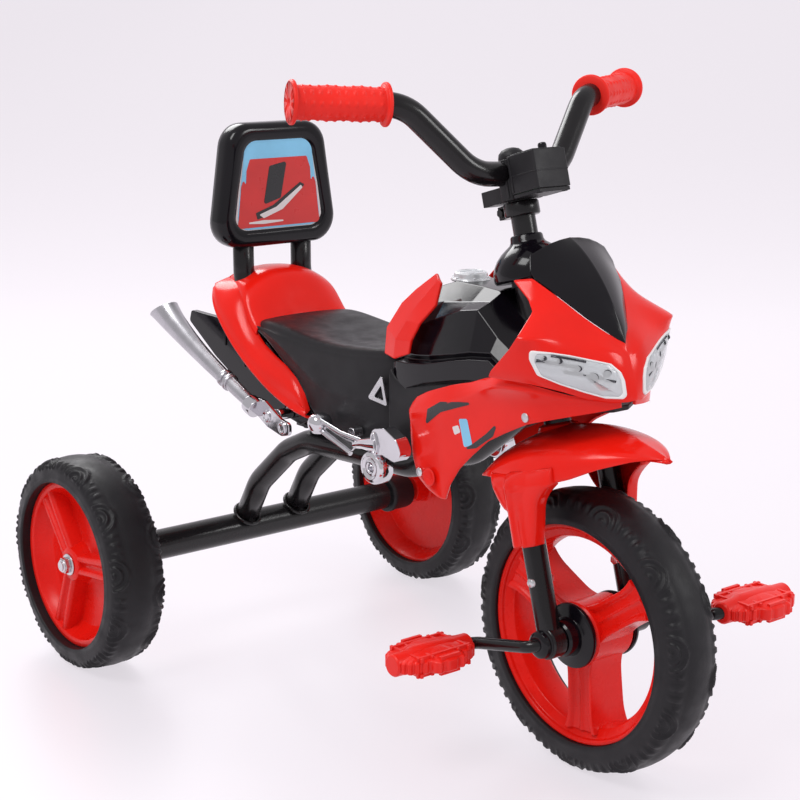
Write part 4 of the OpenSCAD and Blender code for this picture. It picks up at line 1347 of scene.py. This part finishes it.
for node, paint in (("rear_axle_tube", STEEL), ("head_tube", STEEL), ("head_gusset", STEEL),
                    ("seat_bracket", STEEL), ("fairing_bracket", STEEL), ("headset_bushes", CHARCOAL),
                    ("rear_axle_rod", BRIGHT), ("stem", STEEL), ("sound_board", CIRCUIT)):
    materials = frame["nodes"][node].data.materials
    materials.clear()
    materials.append(paint)


# ---------------------------------------------------------------- studio

VIEW_TURN = -39  # degrees round the upright from straight ahead to the camera


def studio():
    """A pale curved backdrop that glows a little, an even pale world and three soft lights."""
    floor_mat = finish_of("pale_studio_floor", (0.17, 0.16, 0.17), 0.4, grain=60, bump=0.0, mottle=0.004,
                          smudge=0.0)
    floor_shader = floor_mat.node_tree.nodes["Principled BSDF"]
    floor_shader.inputs["Emission Color"].default_value = (0.95, 0.90, 0.96, 1)
    floor_shader.inputs["Emission Strength"].default_value = 0.72
    rows = []
    for y, z in ((-3, 0), (1.6, 0), (2.2, 0.02), (2.8, 0.2), (3.2, 0.7), (3.4, 1.4), (3.5, 4)):
        rows.append([Vector((x, y, z)) for x in (-6, -2, 0, 2, 6)])
    verts, faces = grid(rows)
    turn = Matrix.Rotation(math.radians(VIEW_TURN), 4, "Z")
    mesh = bpy.data.meshes.new("studio_sweep")
    mesh.from_pydata([tuple(turn @ v) for v in verts], [], faces)
    for poly in mesh.polygons:
        poly.use_smooth = True
    mesh.materials.append(floor_mat)
    obj = bpy.data.objects.new("studio_sweep", mesh)
    bpy.context.scene.collection.objects.link(obj)
    subdivide(obj, 3)

    world = bpy.data.worlds.new("soft_world")
    world.use_nodes = True
    world.node_tree.nodes["Background"].inputs["Color"].default_value = (0.96, 0.94, 0.97, 1)
    world.node_tree.nodes["Background"].inputs["Strength"].default_value = 0.62
    bpy.context.scene.world = world

    def softbox(name, place, size, power):
        middle = Vector((0, 0, 0.3))
        light = bpy.data.lights.new(name, "AREA")
        light.energy = power
        light.size = size
        lamp = bpy.data.objects.new(name, light)
        lamp.location = place
        lamp.visible_camera = False
        lamp.rotation_euler = (middle - Vector(place)).to_track_quat("-Z", "Y").to_euler()
        bpy.context.scene.collection.objects.link(lamp)

    softbox("key_softbox", (-1.5, -0.2, 2.4), 1.0, 30)
    softbox("front_softbox", (1.3, -2.2, 1.6), 0.8, 17)
    softbox("back_softbox", (0.3, 1.9, 2.0), 1.2, 30)


def camera():
    """The photograph's viewpoint: heading and drop in degrees, and the lens' place in metres."""
    data = bpy.data.cameras.new("camera")
    data.lens = 78.6
    data.sensor_width = 36
    obj = bpy.data.objects.new("camera", data)
    heading, drop = math.radians(50.95), math.radians(12.87)
    look = Vector((math.cos(drop) * math.cos(heading), math.cos(drop) * math.sin(heading), -math.sin(drop)))
    obj.location = AXLE + Vector((-1.0569, -1.0310, 0.6713 - AXLE.z))
    obj.rotation_mode = "QUATERNION"
    obj.rotation_quaternion = look.to_track_quat("-Z", "Y")
    bpy.context.scene.collection.objects.link(obj)
    bpy.context.scene.camera = obj


studio()
camera()
bpy.context.scene.view_settings.view_transform = "Standard"
